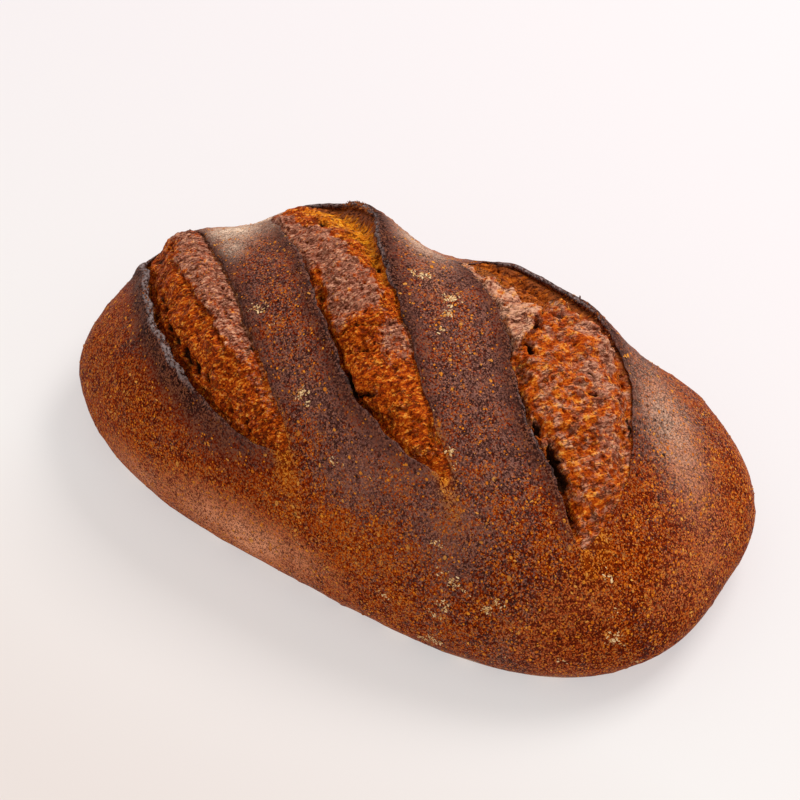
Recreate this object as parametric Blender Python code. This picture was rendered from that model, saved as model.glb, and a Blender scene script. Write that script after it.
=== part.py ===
"""A hearth-baked sourdough loaf: one solid, with three slanting scores across its domed top.

The loaf lies along X, stands on its flat base at Z = 0, and its near side faces -Y. Each score has opened
in the oven: the crust lifts along its rims, and the torn crumb has risen between them.
"""

import itertools
import math

import bmesh
import bpy
import numpy as np

MM = 0.001

# The loaf's own size.
LENGTH = 275 * MM
WIDTH = 158 * MM
HEIGHT = 95.5 * MM
WAIST_HEIGHT = 20 * MM
BASE_INSET = 9.5 * MM

# How full its forms are: 2 is an ellipse, and more is squarer.
PLAN_FULLNESS = 2.75
DOME_FULLNESS = 1.95
END_DROP = 0.32

# Slow unevenness of a hand-shaped dough.
SWELL_SIZE = 48 * MM
SWELL_HEIGHT = 1.6 * MM
FLOOR_MARGIN = 14 * MM

# Where the crust has stayed low beside the scores: the middle of each hollow, measured along the scores and
# square to them from the loaf's centre, how far it reaches both ways, and its depth.
HOLLOWS = (
    (-108 * MM, -34 * MM, 46 * MM, 25 * MM, 5.5 * MM),
    (-50 * MM, 31 * MM, 46 * MM, 27 * MM, 9.0 * MM),
    (12 * MM, 91 * MM, 36 * MM, 20 * MM, 4.5 * MM),
)
HOLLOW_FADE = 18 * MM

# The angles of the starting sphere at which the waist and the base's edge come.
WAIST_ANGLE = math.radians(-20)
BASE_ANGLE = math.radians(-45)

# Cells of the starting box along X, Y and Z, and the triangles that are kept of them.
BOX_CELLS = (150, 90, 90)
KEPT_TRIANGLES = 11400

# The scores run parallel, from the loaf's far left to its near right.
SCORE_ANGLE = math.radians(-38)

# A score's stations, in millimetres. "along" is the distance along the score's direction, and "near" and
# "far" are its two rims, measured square to it, all from the loaf's centre. The lifts are how far each rim's
# crust stands up, the gaps are how deep the crumb has torn away below each rim, and the crown is how far the
# crumb has risen between them.
STATION = ("along", "near", "far", "near_lift", "far_lift", "near_gap", "far_gap", "crown")
SCORES = {
    "left": (
        (-116, -64.5, -63.5, 0.0, 0.0, 0.0, 0.0, 0.0),
        (-104, -77.0, -56.0, 2.5, 0.5, 5.0, 1.0, 2.0),
        (-85, -80.5, -56.0, 3.0, 0.5, 8.0, 1.2, 3.0),
        (-50, -85.0, -57.0, 3.5, 0.5, 10.0, 1.5, 4.0),
        (-15, -82.5, -58.0, 2.5, 0.5, 9.0, 1.5, 4.0),
        (10, -73.5, -57.5, 1.2, 0.3, 5.0, 1.0, 2.5),
        (34, -56.5, -55.5, 0.0, 0.0, 0.0, 0.0, 0.0),
    ),
    "middle": (
        (-102, -15.0, -13.0, 0.0, 0.5, 0.0, 0.0, -2.0),
        (-88, -31.0, 2.0, 0.5, 1.8, 1.0, 6.0, -3.5),
        (-60, -31.0, 4.0, 1.0, 2.2, 2.0, 10.0, -1.0),
        (-30, -31.0, -1.5, 1.5, 1.5, 3.5, 8.0, 1.0),
        (0, -32.0, -5.0, 1.5, 1.0, 4.5, 2.0, 3.0),
        (30, -30.0, -7.0, 1.2, 0.5, 7.0, 1.2, 2.5),
        (52, -21.5, -8.0, 0.6, 0.3, 4.0, 0.8, 1.5),
        (74, -6.5, -5.5, 0.0, 0.0, 0.0, 0.0, 0.0),
    ),
    "right": (
        (-38, 44.0, 46.0, 0.0, 0.5, 0.0, 0.0, 0.0),
        (-20, 27.0, 63.0, 0.5, 0.8, 1.5, 6.0, -1.0),
        (10, 29.0, 71.0, 0.8, 1.0, 2.5, 8.0, 1.0),
        (40, 26.5, 70.5, 1.2, 1.2, 5.0, 5.0, 4.0),
        (62, 25.5, 64.0, 1.5, 1.5, 9.0, 2.0, 5.0),
        (80, 28.0, 56.5, 1.5, 0.8, 14.0, 1.5, 3.0),
        (93, 29.5, 46.0, 0.8, 0.5, 7.0, 1.0, 1.5),
        (104, 31.5, 32.5, 0.0, 0.0, 0.0, 0.0, 0.0),
    ),
}
OUTLINE_STEP = 1.5 * MM
RIM_WANDER = 1.3 * MM
RIM_WANDER_SIZE = 9 * MM

# Where the crust breaks at a rim: how much of the skin turns down into the wall, how far round it that is
# felt and over how much of a narrow score's width, how far the lip hangs over, how far the wall is cut back
# below it, and how quickly lift, gap and crown fade from the rim.
WALL_HALF = 2.6 * MM
WALL_REACH = 9 * MM
HALF_SHARE = 0.45
TINY = 0.01 * MM
LIP_OVERHANG = 1.6 * MM
WALL_UNDERCUT = 1.4 * MM
LIFT_REACH = 22 * MM
GAP_REACH = 4.5 * MM
CROWN_REACH = 7 * MM
NARROW_END = 9 * MM
STEEP_TEAR = 6 * MM

# The dome is followed to this share of the plan, and the scores fade out over the last of it.
TOP_SHARE = 0.995
WAIST_FADE = 0.07

# The torn crumb's lobes.
LOBE_SIZE = 15 * MM
LOBE_HEIGHT = 1.7 * MM
LOBE_SEED = 7

CRUST_COLOUR = (0.16, 0.045, 0.018, 1.0)
CRUST_ROUGHNESS = 0.55


def clear_scene():
    for obj in list(bpy.data.objects):
        bpy.data.objects.remove(obj)


def smooth_step(x):
    x = np.clip(x, 0, 1)
    return x * x * (3 - 2 * x)


def gradient_noise(points, seed=0):
    """Perlin noise at each point, about -1 to 1 and the same on every run."""
    cell = np.floor(points).astype(np.int64)
    part = points - cell
    fade = part**3 * (part * (part * 6 - 15) + 10)
    total = np.zeros(len(points))
    for corner in itertools.product((0, 1), repeat=3):
        x, y, z = (cell + corner).T
        code = (x * 374761393 + y * 668265263 + z * 1274126177 + seed * 144665) & 0xFFFFFFFF
        code = ((code ^ (code >> 13)) * 1103515245) & 0xFFFFFFFF
        code ^= code >> 16
        slopes = [((code >> shift) & 1023) / 511.5 - 1 for shift in (0, 10, 20)]
        weight = np.prod(np.where(corner, fade, 1 - fade), axis=1)
        total += weight * sum(g * (part[:, i] - corner[i]) for i, g in enumerate(slopes))
    return total * 1.3


def curve_through(xs, ys, at):
    """A smooth curve through the points that never swings past them, at the places asked for."""
    xs, ys = np.asarray(xs, float), np.asarray(ys, float)
    run, rise = np.diff(xs), np.diff(ys) / np.diff(xs)
    before, after = rise[:-1], rise[1:]
    turning = before * after <= 0
    middle = np.where(turning, 0, 2 * before * after / np.where(turning, 1, before + after))
    slope = np.concatenate([[rise[0]], middle, [rise[-1]]])
    at = np.clip(at, xs[0], xs[-1])
    i = np.clip(np.searchsorted(xs, at, side="right") - 1, 0, len(run) - 1)
    t = (at - xs[i]) / run[i]
    return (
        (2 * t**3 - 3 * t**2 + 1) * ys[i]
        + (t**3 - 2 * t**2 + t) * run[i] * slope[i]
        + (3 * t**2 - 2 * t**3) * ys[i + 1]
        + (t**3 - t**2) * run[i] * slope[i + 1]
    )


def plan_radius(angle):
    """Distance from the centre to the waist, seen from above."""
    half_length, half_width = LENGTH / 2, WIDTH / 2
    x = np.abs(np.cos(angle) / half_length) ** PLAN_FULLNESS
    y = np.abs(np.sin(angle) / half_width) ** PLAN_FULLNESS
    return (x + y) ** (-1 / PLAN_FULLNESS)


def plan_share(x, y):
    """0 at the centre and 1 at the waist, seen from above."""
    return np.hypot(x, y) / plan_radius(np.arctan2(y, x))


def dome_rise(x):
    """How far the dome's middle stands above the waist, at a place along the loaf."""
    return (HEIGHT - WAIST_HEIGHT) * (1 - END_DROP * (x / (LENGTH / 2)) ** 2)


def dome_point(x, y):
    """The point of the plain dome over a point of the plan."""
    share = np.minimum(plan_share(x, y), TOP_SHARE)
    rise = (1 - share**DOME_FULLNESS) ** (1 / DOME_FULLNESS)
    return np.stack([x, y, WAIST_HEIGHT + dome_rise(x) * rise], axis=-1)


def dome_normal(x, y):
    step = 0.5 * MM
    along = dome_point(x + step, y) - dome_point(x - step, y)
    across = dome_point(x, y + step) - dome_point(x, y - step)
    normal = np.cross(along, across)
    return normal / np.linalg.norm(normal, axis=1, keepdims=True)


def loaf_skin(directions):
    """The plain loaf: a unit sphere's points moved to the dome, the side below the waist and the base."""
    x, y, z = directions.T
    height_angle = np.arcsin(np.clip(z, -1, 1))
    plan_angle = np.arctan2(y * WIDTH, x * LENGTH)
    waist = plan_radius(plan_angle)
    base = waist - BASE_INSET
    up = np.clip((height_angle - WAIST_ANGLE) / (math.pi / 2 - WAIST_ANGLE), 0, 1) * math.pi / 2
    down = np.clip((WAIST_ANGLE - height_angle) / (WAIST_ANGLE - BASE_ANGLE), 0, 1)
    inward = np.clip((height_angle + math.pi / 2) / (BASE_ANGLE + math.pi / 2), 0, 1)
    radius = waist * np.cos(up) ** (2 / DOME_FULLNESS)
    radius = np.where(down > 0, waist - BASE_INSET * down**2, radius)
    radius = np.where(height_angle < BASE_ANGLE, base * inward, radius)
    px, py = radius * np.cos(plan_angle), radius * np.sin(plan_angle)
    pz = WAIST_HEIGHT * (1 - down) + dome_rise(px) * np.sin(up) ** (2 / DOME_FULLNESS)
    return np.stack([px, py, np.where(height_angle < BASE_ANGLE, 0, pz)], axis=1)


def score_axes():
    along = np.array([math.cos(SCORE_ANGLE), math.sin(SCORE_ANGLE)])
    return along, np.array([-along[1], along[0]])


def score_outline(stations):
    """The closed rim of a score as plan points, with the lift, gap and crown that belong to each."""
    table = {name: np.array(column, float) * MM for name, column in zip(STATION, zip(*stations))}
    start, end = table["along"][[0, -1]]
    s = np.linspace(start, end, int((end - start) / OUTLINE_STEP))
    at = {name: curve_through(table["along"], table[name], s) for name in STATION}
    end_fade = smooth_step(np.minimum(s - start, end - s) / NARROW_END)
    sides = []
    for side, order in (("near", 1), ("far", -1)):
        along_rim = np.stack([s, at[side], np.zeros_like(s)], axis=1) / RIM_WANDER_SIZE
        d = at[side] + gradient_noise(along_rim) * RIM_WANDER * end_fade
        columns = (s, d, at[side + "_lift"], at[side + "_gap"])
        sides.append(np.stack(columns, axis=1)[::order])
    rim = np.concatenate(sides)
    along, across = score_axes()
    plan = rim[:, :1] * along + rim[:, 1:2] * across
    return {"plan": plan, "lift": rim[:, 2], "gap": rim[:, 3], "s": s, "at": at}


def rim_distance(plan, outline):
    """How far each plan point is inside a score's rim, the way inwards, and the rim's own lift and gap."""
    start = outline["plan"]
    end = np.roll(start, -1, axis=0)
    edge = end - start
    to_point = plan[:, None, :] - start[None]
    share = np.clip((to_point * edge).sum(2) / np.maximum((edge * edge).sum(1), 1e-12), 0, 1)
    offset = to_point - share[..., None] * edge
    distance = np.linalg.norm(offset, axis=2)
    nearest = distance.argmin(axis=1)
    rows = np.arange(len(plan))
    crosses = (start[None, :, 1] > plan[:, 1:2]) != (end[None, :, 1] > plan[:, 1:2])
    level = (plan[:, 1:2] - start[None, :, 1]) / np.where(np.abs(edge[:, 1]) < 1e-12, 1e-12, edge[:, 1])
    hits = crosses & (plan[:, 0:1] < start[None, :, 0] + level * edge[:, 0])
    inside = hits.sum(axis=1) % 2 == 1
    signed = np.where(inside, 1, -1) * distance[rows, nearest]
    inward = offset[rows, nearest] / np.where(np.abs(signed) < 1e-9, 1e-9, signed)[:, None]
    share = share[rows, nearest]
    following = (nearest + 1) % len(start)
    lift = outline["lift"][nearest] * (1 - share) + outline["lift"][following] * share
    gap = outline["gap"][nearest] * (1 - share) + outline["gap"][following] * share
    return signed, inward, lift, gap


def crumb_height(plan, depth, gap, outline):
    """How far the torn crumb stands above the plain dome, at a distance inside the rim."""
    along, _ = score_axes()
    crown = np.interp(plan @ along, outline["s"], outline["at"]["crown"])
    rise = crown * (1 - np.exp(-((depth / CROWN_REACH) ** 2)))
    lobes = gradient_noise(np.column_stack([plan, np.zeros(len(plan))]) / LOBE_SIZE, LOBE_SEED)
    inner = smooth_step(depth / CROWN_REACH)
    return rise + lobes * LOBE_HEIGHT * inner - gap * np.exp(-((depth / GAP_REACH) ** 2))


def open_score(points, outline):
    """How the points of the plain dome move to one score's lifted rims, torn walls and risen crumb."""
    plan = points[:, :2]
    signed, inward, lift, gap = rim_distance(plan, outline)
    along, _ = score_axes()
    width = np.interp(plan @ along, outline["s"], outline["at"]["far"] - outline["at"]["near"])
    wide = smooth_step(width / NARROW_END) * smooth_step((TOP_SHARE - plan_share(*plan.T)) / WAIST_FADE)
    reach = np.clip(HALF_SHARE * width, TINY, WALL_REACH)
    wall = np.clip(WALL_HALF * wide, TINY / 2, reach / 2)
    squeezed = np.maximum(np.abs(signed) - wall, 0) * reach / (reach - wall)
    moved = np.where(np.abs(signed) < reach, np.sign(signed) * squeezed, signed)
    down_wall = smooth_step((signed + wall) / (2 * wall))
    beside = np.clip(1 - (signed / reach) ** 2, 0, 1) ** 2
    steep = smooth_step((lift + gap) / STEEP_TEAR) * wide * beside
    over = LIP_OVERHANG * np.exp(-(((down_wall - 0.25) / 0.25) ** 2))
    under = WALL_UNDERCUT * np.exp(-(((down_wall - 0.8) / 0.15) ** 2))
    target = plan + inward * (moved - signed + (over - under) * steep)[:, None]
    lip = lift * np.clip(1 - (np.minimum(moved, 0) / LIFT_REACH) ** 2, 0, 1) ** 2
    crumb = crumb_height(target, np.maximum(moved, 0), gap, outline)
    height = (lip * (1 - down_wall) + crumb * down_wall) * wide
    normal = dome_normal(*target.T)
    return dome_point(*target.T) - dome_point(*plan.T) + normal * height[:, None]


def sunk(points, plain):
    """The loaf with its hollows, which fade out towards the waist."""
    along, across = score_axes()
    s, d = plain[:, :2] @ along, plain[:, :2] @ across
    depth = np.zeros(len(points))
    for middle_s, middle_d, reach_s, reach_d, deep in HOLLOWS:
        away = ((s - middle_s) / reach_s) ** 2 + ((d - middle_d) / reach_d) ** 2
        depth += deep * np.clip(1 - away, 0, 1) ** 2
    depth *= smooth_step((plain[:, 2] - WAIST_HEIGHT) / HOLLOW_FADE)
    return points - dome_normal(*plain[:, :2].T) * depth[:, None]


def swollen(points):
    """The loaf's slow unevenness, which fades out at the flat base."""
    swell = np.column_stack([gradient_noise(points / SWELL_SIZE, seed) for seed in (1, 2, 3)])
    fade = smooth_step(points[:, 2] / FLOOR_MARGIN)
    return points + swell * (SWELL_HEIGHT * fade)[:, None]


def shaped(directions):
    plain = loaf_skin(directions)
    on_dome = directions[:, 2] > math.sin(WAIST_ANGLE)
    along, across = score_axes()
    s, d = plain[:, :2] @ along, plain[:, :2] @ across
    opened = plain.copy()
    for stations in SCORES.values():
        outline = score_outline(stations)
        low, high = outline["at"]["near"].min() - LIFT_REACH, outline["at"]["far"].max() + LIFT_REACH
        start, end = outline["s"][[0, -1]] + (-LIFT_REACH, LIFT_REACH)
        close = on_dome & (s > start) & (s < end) & (d > low) & (d < high)
        opened[close] += open_score(plain[close], outline)
    return swollen(sunk(opened, plain))


def box_of_cells(cells):
    """A cube cut into a grid of cells, which is then rounded into a sphere."""
    mesh = bmesh.new()
    bmesh.ops.create_cube(mesh, size=2)
    for axis, count in enumerate(cells):
        edges = [e for e in mesh.edges if abs(e.verts[0].co[axis] - e.verts[1].co[axis]) > 1]
        bmesh.ops.subdivide_edges(mesh, edges=edges, cuts=count - 1, use_grid_fill=True)
    return mesh


def make_loaf():
    grid = box_of_cells(BOX_CELLS)
    mesh = bpy.data.meshes.new("loaf")
    grid.to_mesh(mesh)
    grid.free()
    corners = np.empty(len(mesh.vertices) * 3)
    mesh.vertices.foreach_get("co", corners)
    even = np.tan(corners.reshape(-1, 3) * math.pi / 4)
    directions = even / np.linalg.norm(even, axis=1, keepdims=True)
    points = shaped(directions)
    points[:, :2] -= (points[:, :2].min(axis=0) + points[:, :2].max(axis=0)) / 2
    mesh.vertices.foreach_set("co", points.ravel())
    mesh.update()
    loaf = bpy.data.objects.new("loaf", mesh)
    thin = loaf.modifiers.new("fewer faces", "DECIMATE")
    thin.ratio = KEPT_TRIANGLES / (2 * len(mesh.polygons))
    mesh.shade_smooth()
    return loaf


def crust_material():
    material = bpy.data.materials.new("browned crust")
    material.use_nodes = True
    shader = material.node_tree.nodes["Principled BSDF"]
    shader.inputs["Base Color"].default_value = CRUST_COLOUR
    shader.inputs["Roughness"].default_value = CRUST_ROUGHNESS
    shader.inputs["Metallic"].default_value = 0.0
    return material


def main():
    clear_scene()
    collection = bpy.data.collections.new("sourdough loaf")
    bpy.context.scene.collection.children.link(collection)
    loaf = make_loaf()
    loaf.data.materials.append(crust_material())
    collection.objects.link(loaf)


main()
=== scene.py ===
import itertools
import math

import bmesh
import bpy
import numpy as np
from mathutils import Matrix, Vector


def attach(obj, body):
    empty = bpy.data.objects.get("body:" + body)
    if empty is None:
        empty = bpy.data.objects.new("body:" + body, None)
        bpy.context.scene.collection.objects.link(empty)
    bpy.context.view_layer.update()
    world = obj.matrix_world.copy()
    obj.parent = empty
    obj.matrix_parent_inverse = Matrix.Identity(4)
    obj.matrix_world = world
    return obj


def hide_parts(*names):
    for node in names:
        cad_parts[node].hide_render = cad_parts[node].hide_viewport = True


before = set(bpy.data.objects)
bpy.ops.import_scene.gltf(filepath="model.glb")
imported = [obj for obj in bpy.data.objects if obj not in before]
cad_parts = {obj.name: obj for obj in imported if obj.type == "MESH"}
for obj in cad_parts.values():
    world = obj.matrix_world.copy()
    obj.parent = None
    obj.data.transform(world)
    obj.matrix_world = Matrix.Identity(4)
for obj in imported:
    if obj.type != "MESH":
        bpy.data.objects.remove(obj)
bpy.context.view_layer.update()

# The crust: the baked skin of the whole loaf, hard and thin, red-brown on the sides, darker on top and nearly
# black on the lips beside the scores. It is one closed skin, made by rounding a finely divided box, with a
# trench where each score was cut and its torn lips curled over the trench's edges.
MM = 0.001
LENGTH = 275 * MM
WIDTH = 158 * MM
HEIGHT = 95.5 * MM
WAIST_HEIGHT = 20 * MM
BASE_INSET = 9.5 * MM
PLAN_FULLNESS = 2.75
DOME_FULLNESS = 1.95
END_DROP = 0.32
SWELL_SIZE = 48 * MM
SWELL_HEIGHT = 1.6 * MM
FLOOR_MARGIN = 14 * MM
HOLLOWS = (
    (-108 * MM, -34 * MM, 46 * MM, 25 * MM, 5.5 * MM),
    (-50 * MM, 31 * MM, 46 * MM, 27 * MM, 9.0 * MM),
    (12 * MM, 91 * MM, 36 * MM, 20 * MM, 4.5 * MM),
)
HOLLOW_FADE = 18 * MM
WAIST_ANGLE = math.radians(-20)
BASE_ANGLE = math.radians(-45)
BOX_CELLS = (112, 67, 67)

SCORE_ANGLE = math.radians(-38)
STATION = ("along", "near", "far", "near_lift", "far_lift", "near_gap", "far_gap", "crown")
SCORES = {
    "left": (
        (-116, -64.5, -63.5, 0.0, 0.0, 0.0, 0.0, 0.0),
        (-104, -77.0, -56.0, 2.5, 0.5, 5.0, 1.0, 2.0),
        (-85, -80.5, -56.0, 3.0, 0.5, 8.0, 1.2, 3.0),
        (-50, -85.0, -57.0, 3.5, 0.5, 10.0, 1.5, 4.0),
        (-15, -82.5, -58.0, 2.5, 0.5, 9.0, 1.5, 4.0),
        (10, -73.5, -57.5, 1.2, 0.3, 5.0, 1.0, 2.5),
        (34, -56.5, -55.5, 0.0, 0.0, 0.0, 0.0, 0.0),
    ),
    "middle": (
        (-102, -15.0, -13.0, 0.0, 0.5, 0.0, 0.0, -2.0),
        (-88, -31.0, 2.0, 0.5, 1.8, 1.0, 6.0, -3.5),
        (-60, -31.0, 4.0, 1.0, 2.2, 2.0, 10.0, -1.0),
        (-30, -31.0, -1.5, 1.5, 1.5, 3.5, 8.0, 1.0),
        (0, -32.0, -5.0, 1.5, 1.0, 4.5, 2.0, 3.0),
        (30, -30.0, -7.0, 1.2, 0.5, 7.0, 1.2, 2.5),
        (52, -21.5, -8.0, 0.6, 0.3, 4.0, 0.8, 1.5),
        (74, -6.5, -5.5, 0.0, 0.0, 0.0, 0.0, 0.0),
    ),
    "right": (
        (-38, 44.0, 46.0, 0.0, 0.5, 0.0, 0.0, 0.0),
        (-20, 27.0, 63.0, 0.5, 0.8, 1.5, 6.0, -1.0),
        (10, 29.0, 71.0, 0.8, 1.0, 2.5, 8.0, 1.0),
        (40, 26.5, 70.5, 1.2, 1.2, 5.0, 5.0, 4.0),
        (62, 25.5, 64.0, 1.5, 1.5, 9.0, 2.0, 5.0),
        (80, 28.0, 56.5, 1.5, 0.8, 14.0, 1.5, 3.0),
        (93, 29.5, 46.0, 0.8, 0.5, 7.0, 1.0, 1.5),
        (104, 31.5, 32.5, 0.0, 0.0, 0.0, 0.0, 0.0),
    ),
}
# How thick, overhanging and burnt each score's near and far lips are, at places along it.
EDGE = ("near_edge", "far_edge")
EDGES = {
    "left": ((-116, 0.6, 0.3), (-95, 1.1, 0.5), (-20, 1.0, 0.45), (10, 0.6, 0.3), (34, 0.1, 0.08)),
    "middle": (
        (-102, 0.5, 1.0), (-60, 0.7, 1.2), (-20, 0.75, 1.0), (15, 0.7, 0.5), (50, 0.45, 0.25),
        (74, 0.05, 0.05),
    ),
    "right": (
        (-38, 0.4, 0.9), (0, 0.5, 1.0), (20, 0.6, 0.7), (40, 0.7, 0.25), (65, 0.9, 0.18), (88, 0.6, 0.1),
        (104, 0.1, 0.05),
    ),
}
OUTLINE_STEP = 0.8 * MM
RIM_WANDER = 1.3 * MM
RIM_WANDER_SIZE = 9 * MM
RIM_RAG = 0.65 * MM
RIM_RAG_SIZE = 2.6 * MM
NARROW_END = 9 * MM
LIFT_REACH = 22 * MM
CURL_REACH = 2.7 * MM
CURL_SHARE = 0.62
TOP_SHARE = 0.995
WAIST_FADE = 0.07

# The lip's section, from the crust's top over the edge and down the wall to the trench's floor. Each row
# holds how far through the lip it is, its offset towards the score, and how much of the lift, of the lip's
# thickness and of the gap its height takes.
LIP_SECTION = np.array(
    (
        (0.00, -1.6, 1.0, 0.0, 0.0),
        (0.12, -0.6, 1.0, 0.1, 0.0),
        (0.22, 0.2, 1.0, 0.35, 0.0),
        (0.30, 0.35, 1.0, 0.7, 0.0),
        (0.40, -0.2, 1.0, 1.05, 0.0),
        (0.55, -1.6, 0.8, 1.3, 0.1),
        (0.75, -2.6, 0.3, 1.6, 0.6),
        (1.00, -1.0, 0.0, 3.5, 1.0),
    )
)
LIP_OUTSIDE = 1.8 * MM
LIP_INSIDE = 5.4 * MM
LIP_REACH = 9 * MM
LIP_THICKNESS = 1.9 * MM
HALF_SHARE = 0.45
TINY = 0.01 * MM
FINE_RIMS = ((5.5 * MM, 5.5 * MM), (2.6 * MM, 4.5 * MM))


def smooth_step(x):
    x = np.clip(x, 0, 1)
    return x * x * (3 - 2 * x)


def gradient_noise(points, seed=0):
    """Perlin noise at each point, about -1 to 1 and the same on every run."""
    cell = np.floor(points).astype(np.int64)
    part = points - cell
    fade = part**3 * (part * (part * 6 - 15) + 10)
    total = np.zeros(len(points))
    for corner in itertools.product((0, 1), repeat=3):
        x, y, z = (cell + corner).T
        code = (x * 374761393 + y * 668265263 + z * 1274126177 + seed * 144665) & 0xFFFFFFFF
        code = ((code ^ (code >> 13)) * 1103515245) & 0xFFFFFFFF
        code ^= code >> 16
        slopes = [((code >> shift) & 1023) / 511.5 - 1 for shift in (0, 10, 20)]
        weight = np.prod(np.where(corner, fade, 1 - fade), axis=1)
        total += weight * sum(g * (part[:, i] - corner[i]) for i, g in enumerate(slopes))
    return total * 1.3


def flat_noise(u, v, seed):
    return gradient_noise(np.stack([u, v, np.full_like(u, seed * 7.3)], axis=-1), seed)


def curve_through(xs, ys, at):
    """A smooth curve through the points that never swings past them, at the places asked for."""
    xs, ys = np.asarray(xs, float), np.asarray(ys, float)
    run, rise = np.diff(xs), np.diff(ys) / np.diff(xs)
    before, after = rise[:-1], rise[1:]
    turning = before * after <= 0
    middle = np.where(turning, 0, 2 * before * after / np.where(turning, 1, before + after))
    slope = np.concatenate([[rise[0]], middle, [rise[-1]]])
    at = np.clip(at, xs[0], xs[-1])
    i = np.clip(np.searchsorted(xs, at, side="right") - 1, 0, len(run) - 1)
    t = (at - xs[i]) / run[i]
    return (
        (2 * t**3 - 3 * t**2 + 1) * ys[i]
        + (t**3 - 2 * t**2 + t) * run[i] * slope[i]
        + (3 * t**2 - 2 * t**3) * ys[i + 1]
        + (t**3 - t**2) * run[i] * slope[i + 1]
    )


def plan_radius(angle):
    """Distance from the centre to the waist, seen from above."""
    half_length, half_width = LENGTH / 2, WIDTH / 2
    x = np.abs(np.cos(angle) / half_length) ** PLAN_FULLNESS
    y = np.abs(np.sin(angle) / half_width) ** PLAN_FULLNESS
    return (x + y) ** (-1 / PLAN_FULLNESS)


def plan_share(x, y):
    """0 at the centre and 1 at the waist, seen from above."""
    return np.hypot(x, y) / plan_radius(np.arctan2(y, x))


def dome_rise(x):
    """How far the dome's middle stands above the waist, at a place along the loaf."""
    return (HEIGHT - WAIST_HEIGHT) * (1 - END_DROP * (x / (LENGTH / 2)) ** 2)


def dome_point(x, y):
    """The point of the plain dome over a point of the plan."""
    share = np.minimum(plan_share(x, y), TOP_SHARE)
    rise = (1 - share**DOME_FULLNESS) ** (1 / DOME_FULLNESS)
    return np.stack([x, y, WAIST_HEIGHT + dome_rise(x) * rise], axis=-1)


def dome_normal(x, y):
    step = 0.5 * MM
    along = dome_point(x + step, y) - dome_point(x - step, y)
    across = dome_point(x, y + step) - dome_point(x, y - step)
    normal = np.cross(along, across)
    return normal / np.linalg.norm(normal, axis=1, keepdims=True)


def loaf_skin(directions):
    """The plain loaf: a unit sphere's points moved to the dome, the side below the waist and the base."""
    x, y, z = directions.T
    height_angle = np.arcsin(np.clip(z, -1, 1))
    plan_angle = np.arctan2(y * WIDTH, x * LENGTH)
    waist = plan_radius(plan_angle)
    base = waist - BASE_INSET
    up = np.clip((height_angle - WAIST_ANGLE) / (math.pi / 2 - WAIST_ANGLE), 0, 1) * math.pi / 2
    down = np.clip((WAIST_ANGLE - height_angle) / (WAIST_ANGLE - BASE_ANGLE), 0, 1)
    inward = np.clip((height_angle + math.pi / 2) / (BASE_ANGLE + math.pi / 2), 0, 1)
    radius = waist * np.cos(up) ** (2 / DOME_FULLNESS)
    radius = np.where(down > 0, waist - BASE_INSET * down**2, radius)
    radius = np.where(height_angle < BASE_ANGLE, base * inward, radius)
    px, py = radius * np.cos(plan_angle), radius * np.sin(plan_angle)
    pz = WAIST_HEIGHT * (1 - down) + dome_rise(px) * np.sin(up) ** (2 / DOME_FULLNESS)
    return np.stack([px, py, np.where(height_angle < BASE_ANGLE, 0, pz)], axis=1)


def score_axes():
    along = np.array([math.cos(SCORE_ANGLE), math.sin(SCORE_ANGLE)])
    return along, np.array([-along[1], along[0]])


def score_outline(stations, edges):
    """The closed rim of a score as plan points, with the lift, gap and edge that belong to each."""
    table = {name: np.array(column, float) * MM for name, column in zip(STATION, zip(*stations))}
    start, end = table["along"][[0, -1]]
    s = np.linspace(start, end, int((end - start) / OUTLINE_STEP))
    at = {name: curve_through(table["along"], table[name], s) for name in STATION}
    for name, column in zip(EDGE, list(zip(*edges))[1:]):
        at[name] = np.interp(s, np.array([row[0] for row in edges]) * MM, column)
    end_fade = smooth_step(np.minimum(s - start, end - s) / NARROW_END)
    sides = []
    for side, order in (("near", 1), ("far", -1)):
        along_rim = np.stack([s, at[side], np.zeros_like(s)], axis=1)
        wander = gradient_noise(along_rim / RIM_WANDER_SIZE) * RIM_WANDER
        rag = gradient_noise(along_rim / RIM_RAG_SIZE, 5) * RIM_RAG
        at[side + "_rim"] = at[side] + (wander + rag) * end_fade
        columns = (s, at[side + "_rim"], at[side + "_lift"], at[side + "_gap"], at[side + "_edge"])
        sides.append(np.stack(columns, axis=1)[::order])
    rim = np.concatenate(sides)
    along, across = score_axes()
    plan = rim[:, :1] * along + rim[:, 1:2] * across
    return {"plan": plan, "rim": rim[:, 2:], "s": s, "at": at}


def rim_distance(plan, outline):
    """How far each plan point is inside a score's rim, the way inwards, and the rim's lift, gap and edge."""
    start = outline["plan"]
    end = np.roll(start, -1, axis=0)
    edge = end - start
    to_point = plan[:, None, :] - start[None]
    share = np.clip((to_point * edge).sum(2) / np.maximum((edge * edge).sum(1), 1e-12), 0, 1)
    offset = to_point - share[..., None] * edge
    distance = np.linalg.norm(offset, axis=2)
    nearest = distance.argmin(axis=1)
    rows = np.arange(len(plan))
    crosses = (start[None, :, 1] > plan[:, 1:2]) != (end[None, :, 1] > plan[:, 1:2])
    level = (plan[:, 1:2] - start[None, :, 1]) / np.where(np.abs(edge[:, 1]) < 1e-12, 1e-12, edge[:, 1])
    hits = crosses & (plan[:, 0:1] < start[None, :, 0] + level * edge[:, 0])
    inside = hits.sum(axis=1) % 2 == 1
    signed = np.where(inside, 1, -1) * distance[rows, nearest]
    inward = offset[rows, nearest] / np.where(np.abs(signed) < 1e-9, 1e-9, signed)[:, None]
    share = share[rows, nearest][:, None]
    following = (nearest + 1) % len(start)
    own = outline["rim"][nearest] * (1 - share) + outline["rim"][following] * share
    return signed, inward, *own.T


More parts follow.
